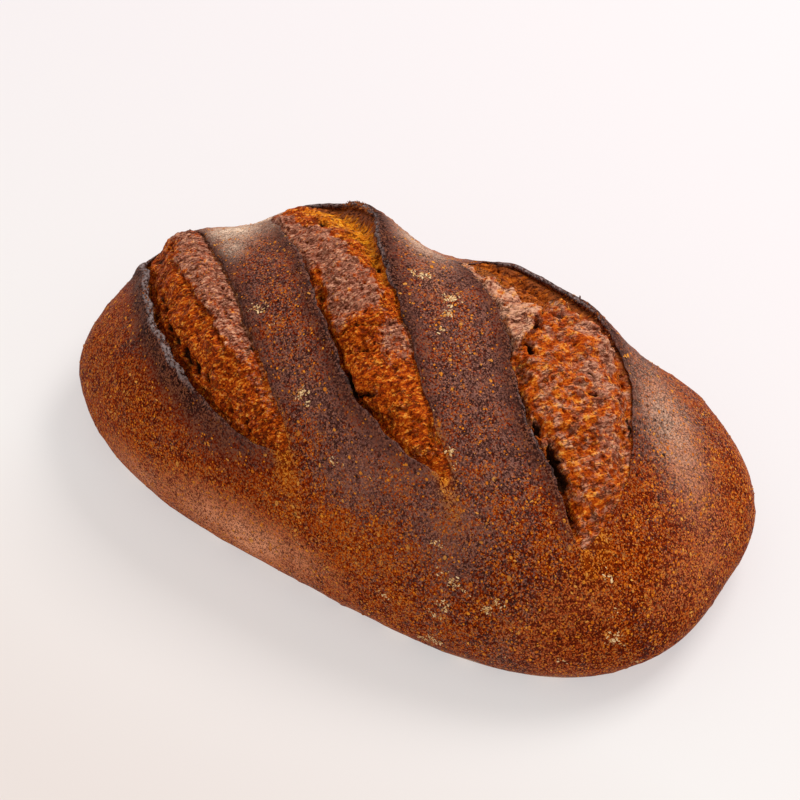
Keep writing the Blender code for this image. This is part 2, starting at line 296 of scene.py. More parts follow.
def curl_lip(points, outline):
    """How the dome's points move to one score's lips and trench, with their place in the lip and its edge."""
    plan = points[:, :2]
    signed, inward, lift, gap, edge = rim_distance(plan, outline)
    along, _ = score_axes()
    width = np.interp(plan @ along, outline["s"], outline["at"]["far"] - outline["at"]["near"])
    wide = smooth_step(width / NARROW_END) * smooth_step((TOP_SHARE - plan_share(*plan.T)) / WAIST_FADE)
    outside = np.maximum(LIP_OUTSIDE * wide, TINY)
    inside = np.clip(LIP_INSIDE * wide, TINY, np.maximum(HALF_SHARE * width, TINY))
    through = np.clip((signed + outside) / (outside + inside), 0, 1)
    offset, lifted, thick, torn = (
        np.interp(through, LIP_SECTION[:, 0], column) for column in LIP_SECTION.T[1:]
    )
    settled = np.interp(through, (0, 1), (LIP_SECTION[0, 1], LIP_SECTION[-1, 1]))
    offset = (settled + (offset - settled) * np.minimum(edge + 0.2, 1)) * MM * wide
    start = LIP_SECTION[0, 1] * MM * wide
    beyond = np.clip((-signed - outside) / (LIP_REACH - outside), 0, 1)
    skin = start * (1 - beyond) - LIP_REACH * beyond
    moved = np.where(signed < -outside, np.maximum(skin, signed - LIP_REACH), offset)
    moved = np.where(signed < -LIP_REACH, signed, moved)
    target = plan + inward * np.where(signed < inside, moved - signed, 0)[:, None]
    broad = np.clip(1 - (np.minimum(signed, 0) / LIFT_REACH) ** 2, 0, 1) ** 2
    curl = np.exp(-((np.minimum(signed + outside, 0) / CURL_REACH) ** 2))
    lip = lift * (CURL_SHARE * curl + (1 - CURL_SHARE) * broad) * lifted
    height = (lip - LIP_THICKNESS * thick * (0.15 + 0.85 * edge) - gap * torn) * wide
    normal = dome_normal(*target.T)
    change = dome_point(*target.T) - dome_point(*plan.T) + normal * height[:, None]
    return change, signed, through * wide, edge


def sunk(points, plain):
    """The loaf with its hollows, which fade out towards the waist."""
    along, across = score_axes()
    s, d = plain[:, :2] @ along, plain[:, :2] @ across
    depth = np.zeros(len(points))
    for middle_s, middle_d, reach_s, reach_d, deep in HOLLOWS:
        away = ((s - middle_s) / reach_s) ** 2 + ((d - middle_d) / reach_d) ** 2
        depth += deep * np.clip(1 - away, 0, 1) ** 2
    depth *= smooth_step((plain[:, 2] - WAIST_HEIGHT) / HOLLOW_FADE)
    return points - dome_normal(*plain[:, :2].T) * depth[:, None]


def swollen(points):
    """The loaf's slow unevenness, which fades out at the flat base."""
    swell = np.column_stack([gradient_noise(points / SWELL_SIZE, seed) for seed in (1, 2, 3)])
    fade = smooth_step(points[:, 2] / FLOOR_MARGIN)
    return points + swell * (SWELL_HEIGHT * fade)[:, None]


OUTLINES = {name: score_outline(stations, EDGES[name]) for name, stations in SCORES.items()}


def near_scores(plain, directions):
    """For each score, its outline and which points of the plain loaf it moves."""
    on_dome = directions[:, 2] > math.sin(WAIST_ANGLE)
    along, across = score_axes()
    s, d = plain[:, :2] @ along, plain[:, :2] @ across
    for outline in OUTLINES.values():
        low, high = outline["at"]["near"].min() - LIFT_REACH, outline["at"]["far"].max() + LIFT_REACH
        start, end = outline["s"][[0, -1]] + (-LIFT_REACH, LIFT_REACH)
        close = on_dome & (s > start) & (s < end) & (d > low) & (d < high)
        yield outline, np.nonzero(close)[0]


def rounded(corners):
    """The box's points on a unit sphere, spread evenly."""
    even = np.tan(corners * math.pi / 4)
    return even / np.linalg.norm(even, axis=1, keepdims=True)


def corners_of(verts):
    return np.array([v.co for v in verts])


def refined_box():
    """The divided box, with its cells halved and halved again along the scores' rims."""
    grid = bmesh.new()
    bmesh.ops.create_cube(grid, size=2)
    for axis, count in enumerate(BOX_CELLS):
        edges = [e for e in grid.edges if abs(e.verts[0].co[axis] - e.verts[1].co[axis]) > 1]
        bmesh.ops.subdivide_edges(grid, edges=edges, cuts=count - 1, use_grid_fill=True)
    for outside, inside in FINE_RIMS:
        grid.verts.ensure_lookup_table()
        grid.verts.index_update()
        directions = rounded(corners_of(grid.verts))
        plain = loaf_skin(directions)
        fine = np.zeros(len(plain), bool)
        for outline, close in near_scores(plain, directions):
            for some in np.array_split(close, 16):
                signed = rim_distance(plain[some, :2], outline)[0]
                fine[some] |= (signed > -outside) & (signed < inside)
        chosen = [e for e in grid.edges if fine[e.verts[0].index] and fine[e.verts[1].index]]
        bmesh.ops.subdivide_edges(grid, edges=chosen, cuts=1, use_grid_fill=True)
    return grid


grid = refined_box()
crust_mesh = bpy.data.meshes.new("crust")
grid.to_mesh(crust_mesh)
grid.free()
corners = np.empty(len(crust_mesh.vertices) * 3)
crust_mesh.vertices.foreach_get("co", corners)
directions = rounded(corners.reshape(-1, 3))
plain = loaf_skin(directions)
skin = plain.copy()
rim_near = np.full(len(plain), -1.0)
inside_lip = np.zeros(len(plain))
edge_near = np.zeros(len(plain))
for outline, close in near_scores(plain, directions):
    for some in np.array_split(close, 24):
        change, signed, through, edge = curl_lip(plain[some], outline)
        skin[some] += change
        nearer = signed > rim_near[some]
        rim_near[some] = np.where(nearer, signed, rim_near[some])
        edge_near[some] = np.where(nearer, edge, edge_near[some])
        inside_lip[some] = np.maximum(inside_lip[some], through)
skin = swollen(sunk(skin, plain))
centre = (skin[:, :2].min(axis=0) + skin[:, :2].max(axis=0)) / 2
skin[:, :2] -= centre
crust_mesh.vertices.foreach_set("co", skin.ravel())
crust_mesh.update()

# The baked skin's own relief: slow lumps, blisters and the stretch lines that run along the scores, with
# pocked and crumpled lips.
LUMP_SIZE = 11 * MM
LUMP_HEIGHT = 0.4 * MM
BLISTER_SIZE = 4.2 * MM
BLISTER_HEIGHT = 0.5 * MM
STRETCH_LENGTH = 16 * MM
STRETCH_WIDTH = 3.4 * MM
STRETCH_HEIGHT = 0.25 * MM


def vertex_normals(mesh):
    normals = np.empty(len(mesh.vertices) * 3)
    mesh.vertices.foreach_get("normal", normals)
    return normals.reshape(-1, 3)


along, across = score_axes()
skin_s, skin_d = skin[:, :2] @ along, skin[:, :2] @ across
lumps = gradient_noise(skin / LUMP_SIZE, 11) * LUMP_HEIGHT
blisters = np.maximum(gradient_noise(skin / BLISTER_SIZE, 12) - 0.25, 0) * BLISTER_HEIGHT / 0.5
stretched = np.column_stack([skin_s / STRETCH_LENGTH, skin_d / STRETCH_WIDTH, skin[:, 2] / STRETCH_LENGTH])
ridges = gradient_noise(stretched, 13) * STRETCH_HEIGHT * smooth_step((skin[:, 2] - 55 * MM) / (25 * MM))
off_base = smooth_step(skin[:, 2] / (4 * MM))
relief = (lumps + blisters + ridges) * off_base * (1 - inside_lip)
crumple = gradient_noise(skin / (3.2 * MM), 14) * 0.5 * MM + gradient_noise(skin / (1.5 * MM), 15) * 0.35 * MM
lip_rows = smooth_step(1 - np.abs(inside_lip - 0.3) / 0.3) * np.minimum(edge_near * 1.3, 1)
relief += crumple * lip_rows
skin = skin + vertex_normals(crust_mesh) * relief[:, None]
skin[:, 2] = np.maximum(skin[:, 2], 0)
crust_mesh.vertices.foreach_set("co", skin.ravel())
crust_mesh.update()


def paint(mesh, **values):
    """Stores one number at each point of a mesh under each name."""
    for name, numbers in values.items():
        layer = mesh.attributes.new(name, "FLOAT", "POINT")
        layer.data.foreach_set("value", np.asarray(numbers, np.float32))


def patches(s, d, spots):
    """The strongest of some soft oval patches: each has its middle, its reach both ways and its strength."""
    strength = np.zeros(len(s))
    for middle_s, middle_d, reach_s, reach_d, amount in spots:
        away = ((s / MM - middle_s) / reach_s) ** 2 + ((d / MM - middle_d) / reach_d) ** 2
        strength = np.maximum(strength, amount * np.exp(-away))
    return strength


def blots(points, spots):
    """As patches, for spots in space: each has its middle, its reach each way and its strength."""
    strength = np.zeros(len(points))
    for middle, reach, amount in spots:
        away = (((points / MM - np.array(middle)) / np.array(reach)) ** 2).sum(axis=1)
        strength = np.maximum(strength, amount * np.exp(-away))
    return strength


# Where the crust is darker, stretched or floured, and where it is paler with painted sheen and a painted
# reflection of the table, as seen from above in millimetres along and across the scores. "toast" is 1 on
# the dark top and "char" on the lips.
# Floured patches on the ridge tops; the last two spots are painted sheen on upper faces instead.
FLOUR_AND_SHEEN_SPOTS = (
    (-88, -44, 17, 11, 1.0), (-100, -30, 18, 15, 1.0), (-70, -50, 10, 5, 0.6), (-76, -30, 14, 7, 0.6),
    (62, 80, 26, 10, 0.3), (-40, 18, 18, 8, 0.75),
)
# Painted sheen: paler patches on the ridge tops, the far right top and the ends.
PAINTED_SHEEN_SPOTS = (
    (62, 80, 30, 10, 0.42),
    (-66, 26, 30, 14, 0.75),
    (-30, 14, 20, 8, 0.3),
    (-8, 10, 24, 6, 0.25),
    (118, 12, 14, 40, 0.22),
    (-110, -70, 14, 20, 0.3),
)
# Painted reflection of the pale table low on the near side, and painted sheen at the right end.
PAINTED_SHEEN_BLOTS = (
    ((-22, -79, 22), (36, 20, 12), 1.2),
    ((-72, -71, 18), (24, 15, 11), 0.65),
    ((22, -82, 9), (28, 24, 7), 0.35),
    ((132, -10, 40), (14, 40, 26), 0.25),
)
BRIGHT_BLOTS = (
    ((19, -68, 38), (36, 20, 24), 0.27),
    ((55, -62, 58), (22, 18, 20), 0.28),
    ((26, -60, 67), (18, 14, 14), 0.32),
    ((-77, -68, 25), (26, 22, 14), 0.25),
    ((-12, -77, 26), (40, 18, 16), 0.28),
)
DIM_BLOTS = (((103, -49, 30), (32, 26, 24), 0.12), ((131, -37, 25), (16, 20, 20), 0.12))
DARK_SPOTS = ((45, -38, 16, 9, 0.9), (86, -16, 30, 15, 0.75), (20, 12, 30, 10, 0.5), (112, -2, 12, 12, 0.6))
LIGHT_SPOTS = ((0, -96, 40, 14, 0.7), (55, -60, 30, 12, 0.5), (98, 44, 22, 12, 0.6), (-60, -106, 40, 12, 0.2))
STRETCHED_SPOTS = (
    (29, -58.5, 10, 2.6, 1.0),
    (66, -9.5, 11, 2.6, 1.0),
    (102, 38, 7, 3.5, 0.7),
    (106, 32, 6, 2.2, 0.9),
    (96, 31, 5, 2.5, 0.8),
)
CHAR_REACH = 4.6 * MM
patchy = gradient_noise(skin / (26 * MM), 21)
toast = smooth_step((skin[:, 2] - 40 * MM + patchy * 14 * MM) / (34 * MM))
toast = np.clip(toast * 0.91 + patches(skin_s, skin_d, DARK_SPOTS), 0, 1)
toast *= 1 - patches(skin_s, skin_d, LIGHT_SPOTS)
char_reach = np.where(skin_d < -60 * MM, 1.45, 1.0) * CHAR_REACH
outside_rim = np.exp(-((np.minimum(rim_near, 0) / char_reach) ** 2))
char = np.clip(outside_rim * edge_near * (0.95 + 0.5 * gradient_noise(skin / (7 * MM), 22)), 0, 1)
torn = smooth_step((inside_lip - 0.36) / 0.12)
ragged = 1 + 0.5 * gradient_noise(skin / (4 * MM), 23)
flour = np.clip(patches(skin_s, skin_d, FLOUR_AND_SHEEN_SPOTS) * ragged, 0, 1)
# Painted sheen and painted reflection of the table, broken up by slow noise.
pale = np.maximum(patches(skin_s, skin_d, PAINTED_SHEEN_SPOTS), blots(skin, PAINTED_SHEEN_BLOTS))
pale = np.clip((pale - 0.1) / 0.9 * (0.8 + 0.6 * gradient_noise(skin / (13 * MM), 24)), 0, 1)
base_dust = (
    smooth_step((5.5 * MM - skin[:, 2]) / (3 * MM))
    * smooth_step(0.4 + 1.5 * gradient_noise(skin / (12 * MM), 26))
)
flour = np.maximum(flour, 0.8 * base_dust)
stretched_skin = np.clip(patches(skin_s, skin_d, STRETCHED_SPOTS) * ragged, 0, 1)
upright = 1 - np.abs(vertex_normals(crust_mesh)[:, 2])
paint(crust_mesh, toast=toast, char=char * (1 - torn) * (1 - 0.7 * flour), flour=flour, pale=pale, torn=torn)
# The crests of the lips, where a grey highlight is painted, broken by pocks.
crest = (
    smooth_step(1 - np.abs(inside_lip - 0.24) / 0.20)
    * (0.2 + 0.8 * smooth_step((edge_near - 0.7) / 0.3))
    * (edge_near > 0.15)
)
crest = np.maximum(
    crest,
    smooth_step((rim_near + 1.9 * MM) / (0.7 * MM))
    * smooth_step((edge_near - 0.85) / 0.1)
    * (skin_d < -60 * MM),
)
bright = blots(skin, BRIGHT_BLOTS) - blots(skin, DIM_BLOTS)
paint(crust_mesh, stretched=stretched_skin, upright=upright, crest=crest * (1 - torn), bright=bright)


def new_material(name):
    material = bpy.data.materials.new(name)
    material.use_nodes = True
    tree = material.node_tree
    return material, tree, tree.nodes["Principled BSDF"]


class Value:
    """A number, place or colour that one tree's nodes work out, so that its sums are written as sums."""

    def __init__(self, socket):
        self.socket = socket
        self.tree = socket.id_data

    def maths(self, operation, *others):
        inputs = dict(enumerate((self, *others)))
        return made(self.tree, "ShaderNodeMath", {"operation": operation}, inputs)

    def __add__(self, other):
        return self.maths("ADD", other)

    def __sub__(self, other):
        return self.maths("SUBTRACT", other)

    def __mul__(self, other):
        return self.maths("MULTIPLY", other)

    def feeds(self, socket):
        self.tree.links.new(self.socket, socket)


def add_node(tree, kind, settings=(), inputs=()):
    """Adds a node with its settings, and joins or sets its inputs by name or number."""
    node = tree.nodes.new(kind)
    for name, value in dict(settings).items():
        setattr(node, name, value)
    for name, value in dict(inputs).items():
        if isinstance(value, Value):
            value.feeds(node.inputs[name])
        elif isinstance(value, bpy.types.NodeSocket):
            tree.links.new(value, node.inputs[name])
        else:
            node.inputs[name].default_value = value
    return node


def made(tree, kind, settings=(), inputs=(), output=0):
    """Adds a node as above, for one value that it gives."""
    return Value(add_node(tree, kind, settings, inputs).outputs[output])


def object_place(tree):
    return made(tree, "ShaderNodeTexCoord", output="Object")


def stored(tree, name):
    return made(tree, "ShaderNodeAttribute", {"attribute_name": name}, output="Fac")


def ramp_of(value, low, high, start=0.0, end=1.0):
    inputs = {"Value": value, "From Min": low, "From Max": high, "To Min": start, "To Max": end}
    return made(value.tree, "ShaderNodeMapRange", {"interpolation_type": "SMOOTHSTEP"}, inputs)


def colours_of(value, *stops):
    """A colour for each value, through the colours given with their places from 0 to 1."""
    ramp = add_node(value.tree, "ShaderNodeValToRGB", (), {"Fac": value})
    elements = ramp.color_ramp.elements
    for index, (spot, colour) in enumerate(stops):
        element = elements[index] if index < 2 else elements.new(spot)
        element.position, element.color = spot, (*colour, 1)
    return Value(ramp.outputs["Color"])


def blended(share, first, second):
    """The first colour where the share is 0, the second where it is 1, and between them a mix."""
    first, second = (colour if isinstance(colour, Value) else (*colour, 1) for colour in (first, second))
    settings = {"data_type": "RGBA", "clamp_factor": True}
    return made(share.tree, "ShaderNodeMix", settings, {0: share, 6: first, 7: second}, 2)


def noise_at(place, size, detail=3.0, roughness=0.55, distortion=0.0):
    inputs = {"Vector": place, "Scale": 1 / size, "Detail": detail, "Roughness": roughness}
    inputs["Distortion"] = distortion
    return made(place.tree, "ShaderNodeTexNoise", (), inputs, "Fac")


def stretched_place(place, turn, scale):
    inputs = {"Vector": place, "Rotation": turn, "Scale": scale}
    return made(place.tree, "ShaderNodeMapping", {"vector_type": "TEXTURE"}, inputs)


def bump_of(height, distance):
    return made(height.tree, "ShaderNodeBump", (), {"Strength": 1.0, "Distance": distance, "Height": height})


def new_group(name, inputs, outputs):
    """An empty shader node group with the named sockets, each given its type and its usual value."""
    group = bpy.data.node_groups.new(name, "ShaderNodeTree")
    for label, (kind, value) in inputs.items():
        socket = group.interface.new_socket(name=label, in_out="INPUT", socket_type="NodeSocket" + kind)
        if value is not None:
            socket.default_value = value
    for label, kind in outputs.items():
        group.interface.new_socket(name=label, in_out="OUTPUT", socket_type="NodeSocket" + kind)
    return group, group.nodes.new("NodeGroupInput").outputs, group.nodes.new("NodeGroupOutput").inputs


def speck_group():
    """Round specks, one in some of the cells: how much of each place is speck, and how pale the speck is."""
    inputs = {
        "Place": ("Vector", None),
        "Cell": ("Float", 2 * MM),
        "Share": ("Float", 0.5),
        "Reach": ("Float", 0.4),
    }
    group, given, results = new_group("specks", inputs, {"Mask": "Float", "Tint": "Float"})
    cells = made(group, "ShaderNodeMath", {"operation": "DIVIDE"}, {0: 1.0, 1: given["Cell"]})
    voronoi = add_node(group, "ShaderNodeTexVoronoi", (), {"Vector": given["Place"], "Scale": cells})
    parts = add_node(group, "ShaderNodeSeparateColor", (), {"Color": voronoi.outputs["Color"]})
    chance, size, tint = (Value(output) for output in parts.outputs)
    present = chance.maths("LESS_THAN", given["Share"])
    reach = (size * 0.6 + 0.4) * given["Reach"]
    disc = ramp_of(Value(voronoi.outputs["Distance"]), reach * 0.7, reach, 1.0, 0.0)
    (disc * present).feeds(results["Mask"])
    tint.feeds(results["Tint"])
    return group


SPECKS = speck_group()
ANY_SPECKS = {"share": 0.0, "reach": 0.4}


def specks(place, cell, share, reach):
    """The mask of some specks, and a number of its own for each cell, from 0 to 1."""
    inputs = {"Place": place, "Cell": cell, "Share": share, "Reach": reach}
    node = add_node(place.tree, "ShaderNodeGroup", {"node_tree": SPECKS}, inputs)
    return Value(node.outputs["Mask"]), Value(node.outputs["Tint"])


def crust_material():
    material, tree, shader = new_material("mahogany crust")
    place = object_place(tree)
    lengthwise = stretched_place(place, (0, 0, SCORE_ANGLE), (1.6, 1.0, 1.0))
    downwards = stretched_place(place, (0, 0, 0), (1.0, 1.0, 1.6))
    flour, crest = stored(tree, "flour"), stored(tree, "crest")
    broad = noise_at(place, 20 * MM, 2.0)
    blotch = noise_at(place, 9 * MM, 4.0, 0.65)
    mottle = noise_at(place, 2.8 * MM, 3.0, 0.6)
    grain_along, grain_down = (noise_at(way, 0.75 * MM, 1.0, 0.6) for way in (lengthwise, downwards))
    upright = ramp_of(stored(tree, "upright"), 0.35, 0.75)
    grain = made(tree, "ShaderNodeMix", {"data_type": "FLOAT"}, {0: upright, 2: grain_along, 3: grain_down})
    _, granule = specks(place, 0.52 * MM, **ANY_SPECKS)
    _, tinge = specks(place, 0.62 * MM, **ANY_SPECKS)

    # How light each place is, and how much of the dark top's colour it has.
    rough = grain * 1.5 + mottle * 0.8
    level = granule.maths("POWER", 2.0) * 1.2 + rough + blotch * 1.2 + stored(tree, "bright") - 1.65
    toasted = stored(tree, "toast") + broad * 1.2 - blotch * 1.8 + 0.3
    side = colours_of(
        level,
        (0.05, (0.075, 0.006, 0.001)),
        (0.28, (0.155, 0.014, 0.001)),
        (0.50, (0.255, 0.028, 0.001)),
        (0.66, (0.37, 0.050, 0.002)),
        (0.80, (0.52, 0.092, 0.004)),
        (0.93, (0.73, 0.180, 0.011)),
        (1.0, (0.88, 0.30, 0.03)),
    )
    # The dark top's colours: real darker baking, with a purplish grey cast that is painted sheen.
    top = colours_of(
        level,
        (0.05, (0.044, 0.014, 0.010)),
        (0.28, (0.092, 0.034, 0.025)),
        (0.50, (0.138, 0.054, 0.041)),
        (0.66, (0.182, 0.077, 0.060)),
        (0.80, (0.240, 0.106, 0.082)),
        (0.93, (0.35, 0.150, 0.105)),
        (1.0, (0.50, 0.21, 0.13)),
    )
    colour = blended(ramp_of(toasted + tinge * 1.1 - 0.55, 0.38, 0.95), side, top)
    # Painted sheen and painted reflection of the table, stronger where the grain is light.
    pale = stored(tree, "pale") * ramp_of(level, 0.1, 0.7, 0.15, 1.0)
    colour = blended(pale, colour, (0.85, 0.35, 0.18))
    # Cream dust, with painted sheen in the same cream where those spots stand for it, stronger on the light
    # grain.
    colour = blended(flour * ramp_of(level, 0.0, 0.6, 0.35, 1.0), colour, (0.95, 0.69, 0.50))

    # Golden specks of bran in three sizes: their cell, their share of the cells on the sides and on top,
    # their reach, how well they cover, and their dullest and clearest colours.
    kinds = (
        (place, 1.25 * MM, 0.44, 0.26, 0.44, 0.9, (0.46, 0.082, 0.003), (0.90, 0.30, 0.018)),
        (lengthwise, 2.1 * MM, 0.36, 0.15, 0.36, 0.85, (0.56, 0.12, 0.005), (0.92, 0.34, 0.03)),
        (downwards, 4.6 * MM, 0.3, 0.15, 0.22, 0.7, (0.60, 0.16, 0.012), (0.80, 0.36, 0.07)),
    )
    masks = []
    for way, cell, on_sides, on_top, reach, cover, dull, clear in kinds:
        mask, tint = specks(way, cell, ramp_of(toasted, 0.0, 1.0, on_sides, on_top), reach)
        colour = blended(mask * cover, colour, blended(tint, dull, clear))
        masks.append(mask)
    burnt, _ = specks(place, 2.4 * MM, ramp_of(toasted, 0.0, 1.0, 0.08, 0.2), 0.36)
    colour = blended(burnt * 0.75, colour, (0.016, 0.004, 0.003))

    # The charred bands beside the scores, a painted grey highlight on the crests of their lips, the torn
    # walls and the stretched skin.
    char_edge = stored(tree, "char") + level * 0.6 - 0.3
    charred = colours_of(
        level, (0.2, (0.010, 0.003, 0.002)), (0.5, (0.054, 0.018, 0.013)), (0.85, (0.15, 0.050, 0.030))
    )
    colour = blended(ramp_of(char_edge, 0.12, 0.5) * 0.92, colour, charred)
    pocks = ramp_of(noise_at(lengthwise, 1.3 * MM, 2.0, 0.6), 0.40, 0.50)
    # Painted highlight: pale grey on the lips' crests.
    painted_lip_highlight = blended(granule, (0.11, 0.075, 0.070), (0.33, 0.255, 0.245))
    colour = blended(crest * (pocks * 0.9 + 0.05), colour, painted_lip_highlight)
    wall = blended(ramp_of(level, 0.3, 0.7), (0.09, 0.016, 0.002), (0.42, 0.11, 0.008))
    colour = blended(stored(tree, "torn"), colour, wall)
    opened = colours_of(
        level, (0.15, (0.20, 0.025, 0.001)), (0.5, (0.46, 0.085, 0.004)), (0.85, (0.84, 0.30, 0.025))
    )
    colour = blended(stored(tree, "stretched"), colour, opened)
    colour.feeds(shader.inputs["Base Color"])
    (ramp_of(grain, 0.3, 0.7, 0.55, 0.36) + flour * 0.3).feeds(shader.inputs["Roughness"])
    shader.inputs["Specular IOR Level"].default_value = 0.01
    height = rough * 0.6 + masks[1] * 0.2 + masks[2] * 0.3 - crest * (pocks * -1.0 + 1.0) - burnt * 0.4
    bump_of(height, 0.6 * MM).feeds(shader.inputs["Normal"])
    return material


crust_mesh.materials.append(crust_material())
crust_mesh.shade_smooth()
crust = bpy.data.objects.new("crust", crust_mesh)
bpy.context.scene.collection.objects.link(crust)
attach(crust, "root")
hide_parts("loaf")

# The crumb torn open in the three scores: spongy and stringy, orange where it opened last and purple-brown
# where it has baked longest. Each is a closed body lofted along its score, from under the near lip, over
# its risen crown and up the far wall, with torn edges, cracks and pits as in the photo.
CRUMB_STEP = 0.36 * MM
CRUMB_TUCK = 1.5 * MM
CRUMB_UNDER = 16
CRUMB_DEPTH = 8 * MM
CRUMB_SUNK = 0.25 * MM
CRUMB_END = 0.5 * MM
LIP_CLEARANCE = 0.3 * MM
CROWN_REACH = 7 * MM
FAR_CROWN_REACH = 5 * MM
GAP_REACH = 1.8 * MM
NEAR_FILL = {"left": 0.45, "middle": 0.25, "right": 0.05}
LOBE_SIZE = 15 * MM
LOBE_HEIGHT = 1.7 * MM
LOBE_SEED = 7
LEDGE_HEIGHT = {"left": 0.7 * MM, "middle": 0.9 * MM, "right": 1.1 * MM}

# How wide the far hollow of each score is at its stations, in millimetres.
FAR_HOLLOW = {
    "left": (2.0, 2.0, 2.0, 2.0, 2.0, 2.0, 2.0),
    "middle": (4.0, 8.0, 10.0, 8.0, 3.0, 2.0, 2.0, 2.0),
    "right": (6.0, 9.0, 10.0, 3.5, 2.0, 2.0, 2.0, 2.0),
}
FAR_OPEN = {"left": (1.0, 1.0), "middle": (0.7, 0.6), "right": (1.0, 0.3)}
# How far the dark torn fringe hangs down from the far lip: places along the score, and its reach there.
FRINGE = {
    "left": ((-116, 34), (0.0, 0.0)),
    "middle": ((-100, -92, -80, -72, -60, -50, -40, -10), (6.0, 7.0, 6.5, 4.0, 2.2, 1.4, 0.8, 0.0)),
    "right": ((-38, 20, 60), (1.5, 1.5, 0.0)),
}
# Single lumps and pits: the middle along and across the scores, the reach both ways and the height, in
# millimetres.
CRUMB_SPOTS = {
    "left": (
        (-60, -80, 5.0, 1.2, -2.6),
        (-51, -80.5, 4.0, 1.3, -3.0),
        (-39, -82, 4.0, 1.2, -3.4),
        (-31, -81.5, 3.0, 1.0, -3.0),
        (-22, -80, 5.0, 1.3, -3.8),
        (-14, -78, 4.0, 1.2, -3.8),
        (-7, -75.8, 3.0, 1.0, -3.0),
        (7, -71.5, 2.6, 0.8, -2.2),
        (16, -67.2, 2.4, 0.8, -2.2),
        (27, -60.5, 2.0, 0.7, -1.6),
        (-58, -74, 6.0, 3.0, 1.2),
        (-15, -70, 8.0, 3.0, 1.2),
        (-101, -62, 6.0, 6.0, 1.8),
        (-97, -74, 5.0, 2.4, -2.5),
    ),
    "middle": (
        (26, -24, 5.5, 6.0, 2.4),
        (33.2, -27.5, 0.8, 2.8, -2.8),
        (27, -30.5, 6.0, 1.6, -3.5),
        (41, -25, 3.0, 1.4, -1.4),
        (45, -21, 2.0, 1.4, -1.8),
        (-22, -5, 2.4, 1.6, -3.0),
        (-65, -15, 4.5, 2.4, -3.5),
        (-15, -29.5, 6.0, 1.6, -2.0),
        (17, -22.5, 3.0, 1.4, -1.5),
    ),
    "right": (
        (24, 39.8, 2.2, 1.0, -3.4),
        (33.5, 34.5, 2.6, 1.2, -4.4),
        (17, 51, 2.6, 6.0, -2.6),
        (13, 62, 2.2, 5.0, -2.0),
        (41, 29, 5.0, 1.8, -2.0),
        (64, 28.5, 3.0, 1.3, -3.5),
        (78, 31.0, 8.5, 1.9, -5.5),
        (93, 31, 5.0, 1.6, -2.5),
        (87, 50, 4.0, 4.0, 1.4),
        (31, 69.5, 5.0, 1.5, -2.5),
        (30, 56, 9.0, 8.0, 1.2),
    ),
}
# Torn edges: how far the first side (left of the way along) stands over the other, how slowly that dies
# away, how deep the crack beside it is, all in millimetres, and the edge's points along and across.
CRUMB_TEARS = {
    "left": (
        (
            1.5, 14, 0.7,
            ((-99, -66), (-71, -70), (-57, -70), (-39, -69), (-28, -67), (-16, -66), (-8, -65), (0, -61)),
        ),
        (0.4, 5, 0.5, ((-84, -55), (-66, -57), (-48, -60), (-36, -60), (-26, -62), (-18, -61))),
        (0.0, 5, 1.2, ((-10, -57), (-7, -59), (-3, -61.5))),
        (0.6, 4, 0.8, ((4, -59.5), (7, -61), (11, -64.5))),
    ),
    "middle": (
        (
            1.6, 12, 0.5,
            (
                (12, -8), (6, -9), (2, -11), (-9, -9), (-17, -8), (-27, -13), (-37, -12), (-50, -15),
                (-56, -19), (-70, -22), (-90, -27),
            ),
        ),
        (1.0, 7, 0.9, ((2, -33), (8, -28), (8, -23), (10, -19), (12, -16), (12, -7))),
        (0.0, 4, 1.4, ((15, -25), (18, -22), (18, -19))),
        (-1.3, 8, 0.8, ((15, -31), (18, -26), (21, -21), (21, -14), (20, -8))),
        (1.8, 7, 1.2, ((28, -32), (32, -28), (34, -24), (36, -20))),
        (0.0, 4, 0.7, ((-30, -24), (-24, -21), (-22, -15))),
        (0.5, 6, 0.6, ((40, -20), (46, -15), (50, -10))),
    ),
    "right": (
        (
            -1.8, 12, 0.8,
            ((-8, 33), (-3, 36), (3, 40), (9, 43), (17, 43), (22, 39), (26, 37), (30, 32.5), (36, 27)),
        ),
        (-1.8, 9, 0.6, ((18, 43), (20, 47), (20, 52), (21, 57), (25, 61), (34, 63), (38, 68))),
        (2.6, 3, 0.8, ((20, 45), (12, 48), (11, 53), (11, 57), (7, 62), (4, 67))),
        (0.0, 4, 2.2, ((25, 69), (31, 69.5), (38, 69))),
        (0.7, 6, 1.4, ((45, 49), (46, 52), (48, 57))),
        (0.5, 6, 0.9, ((51, 46), (53, 51), (55, 56), (61, 54))),
        (0.0, 4, 1.5, ((58, 65), (66, 63.5), (72, 61.5))),
        (-1.6, 8, 0.5, ((88, 42), (84, 47), (82, 51), (84, 54), (90, 54.5))),
        (0.6, 6, 0.6, ((60, 34), (66, 38), (70, 44), (69, 50))),
        (0.6, 6, 0.6, ((76, 37), (79, 42), (84, 45))),
    ),
}
# How ragged the torn edges are (the size and height of the rags), how fast their steps and cracks run out,
# and how wide the cracks are.
TEAR_RAGS = ((4.5 * MM, 1.5 * MM), (1.7 * MM, 0.7 * MM))
TEAR_RUN_OUT = 5 * MM
TEAR_SIDE_RUN_OUT = 4 * MM
STEP_WIDTH = 0.7 * MM
CRACK_WIDTH = 0.65 * MM
CRACK_BESIDE = 0.5 * MM

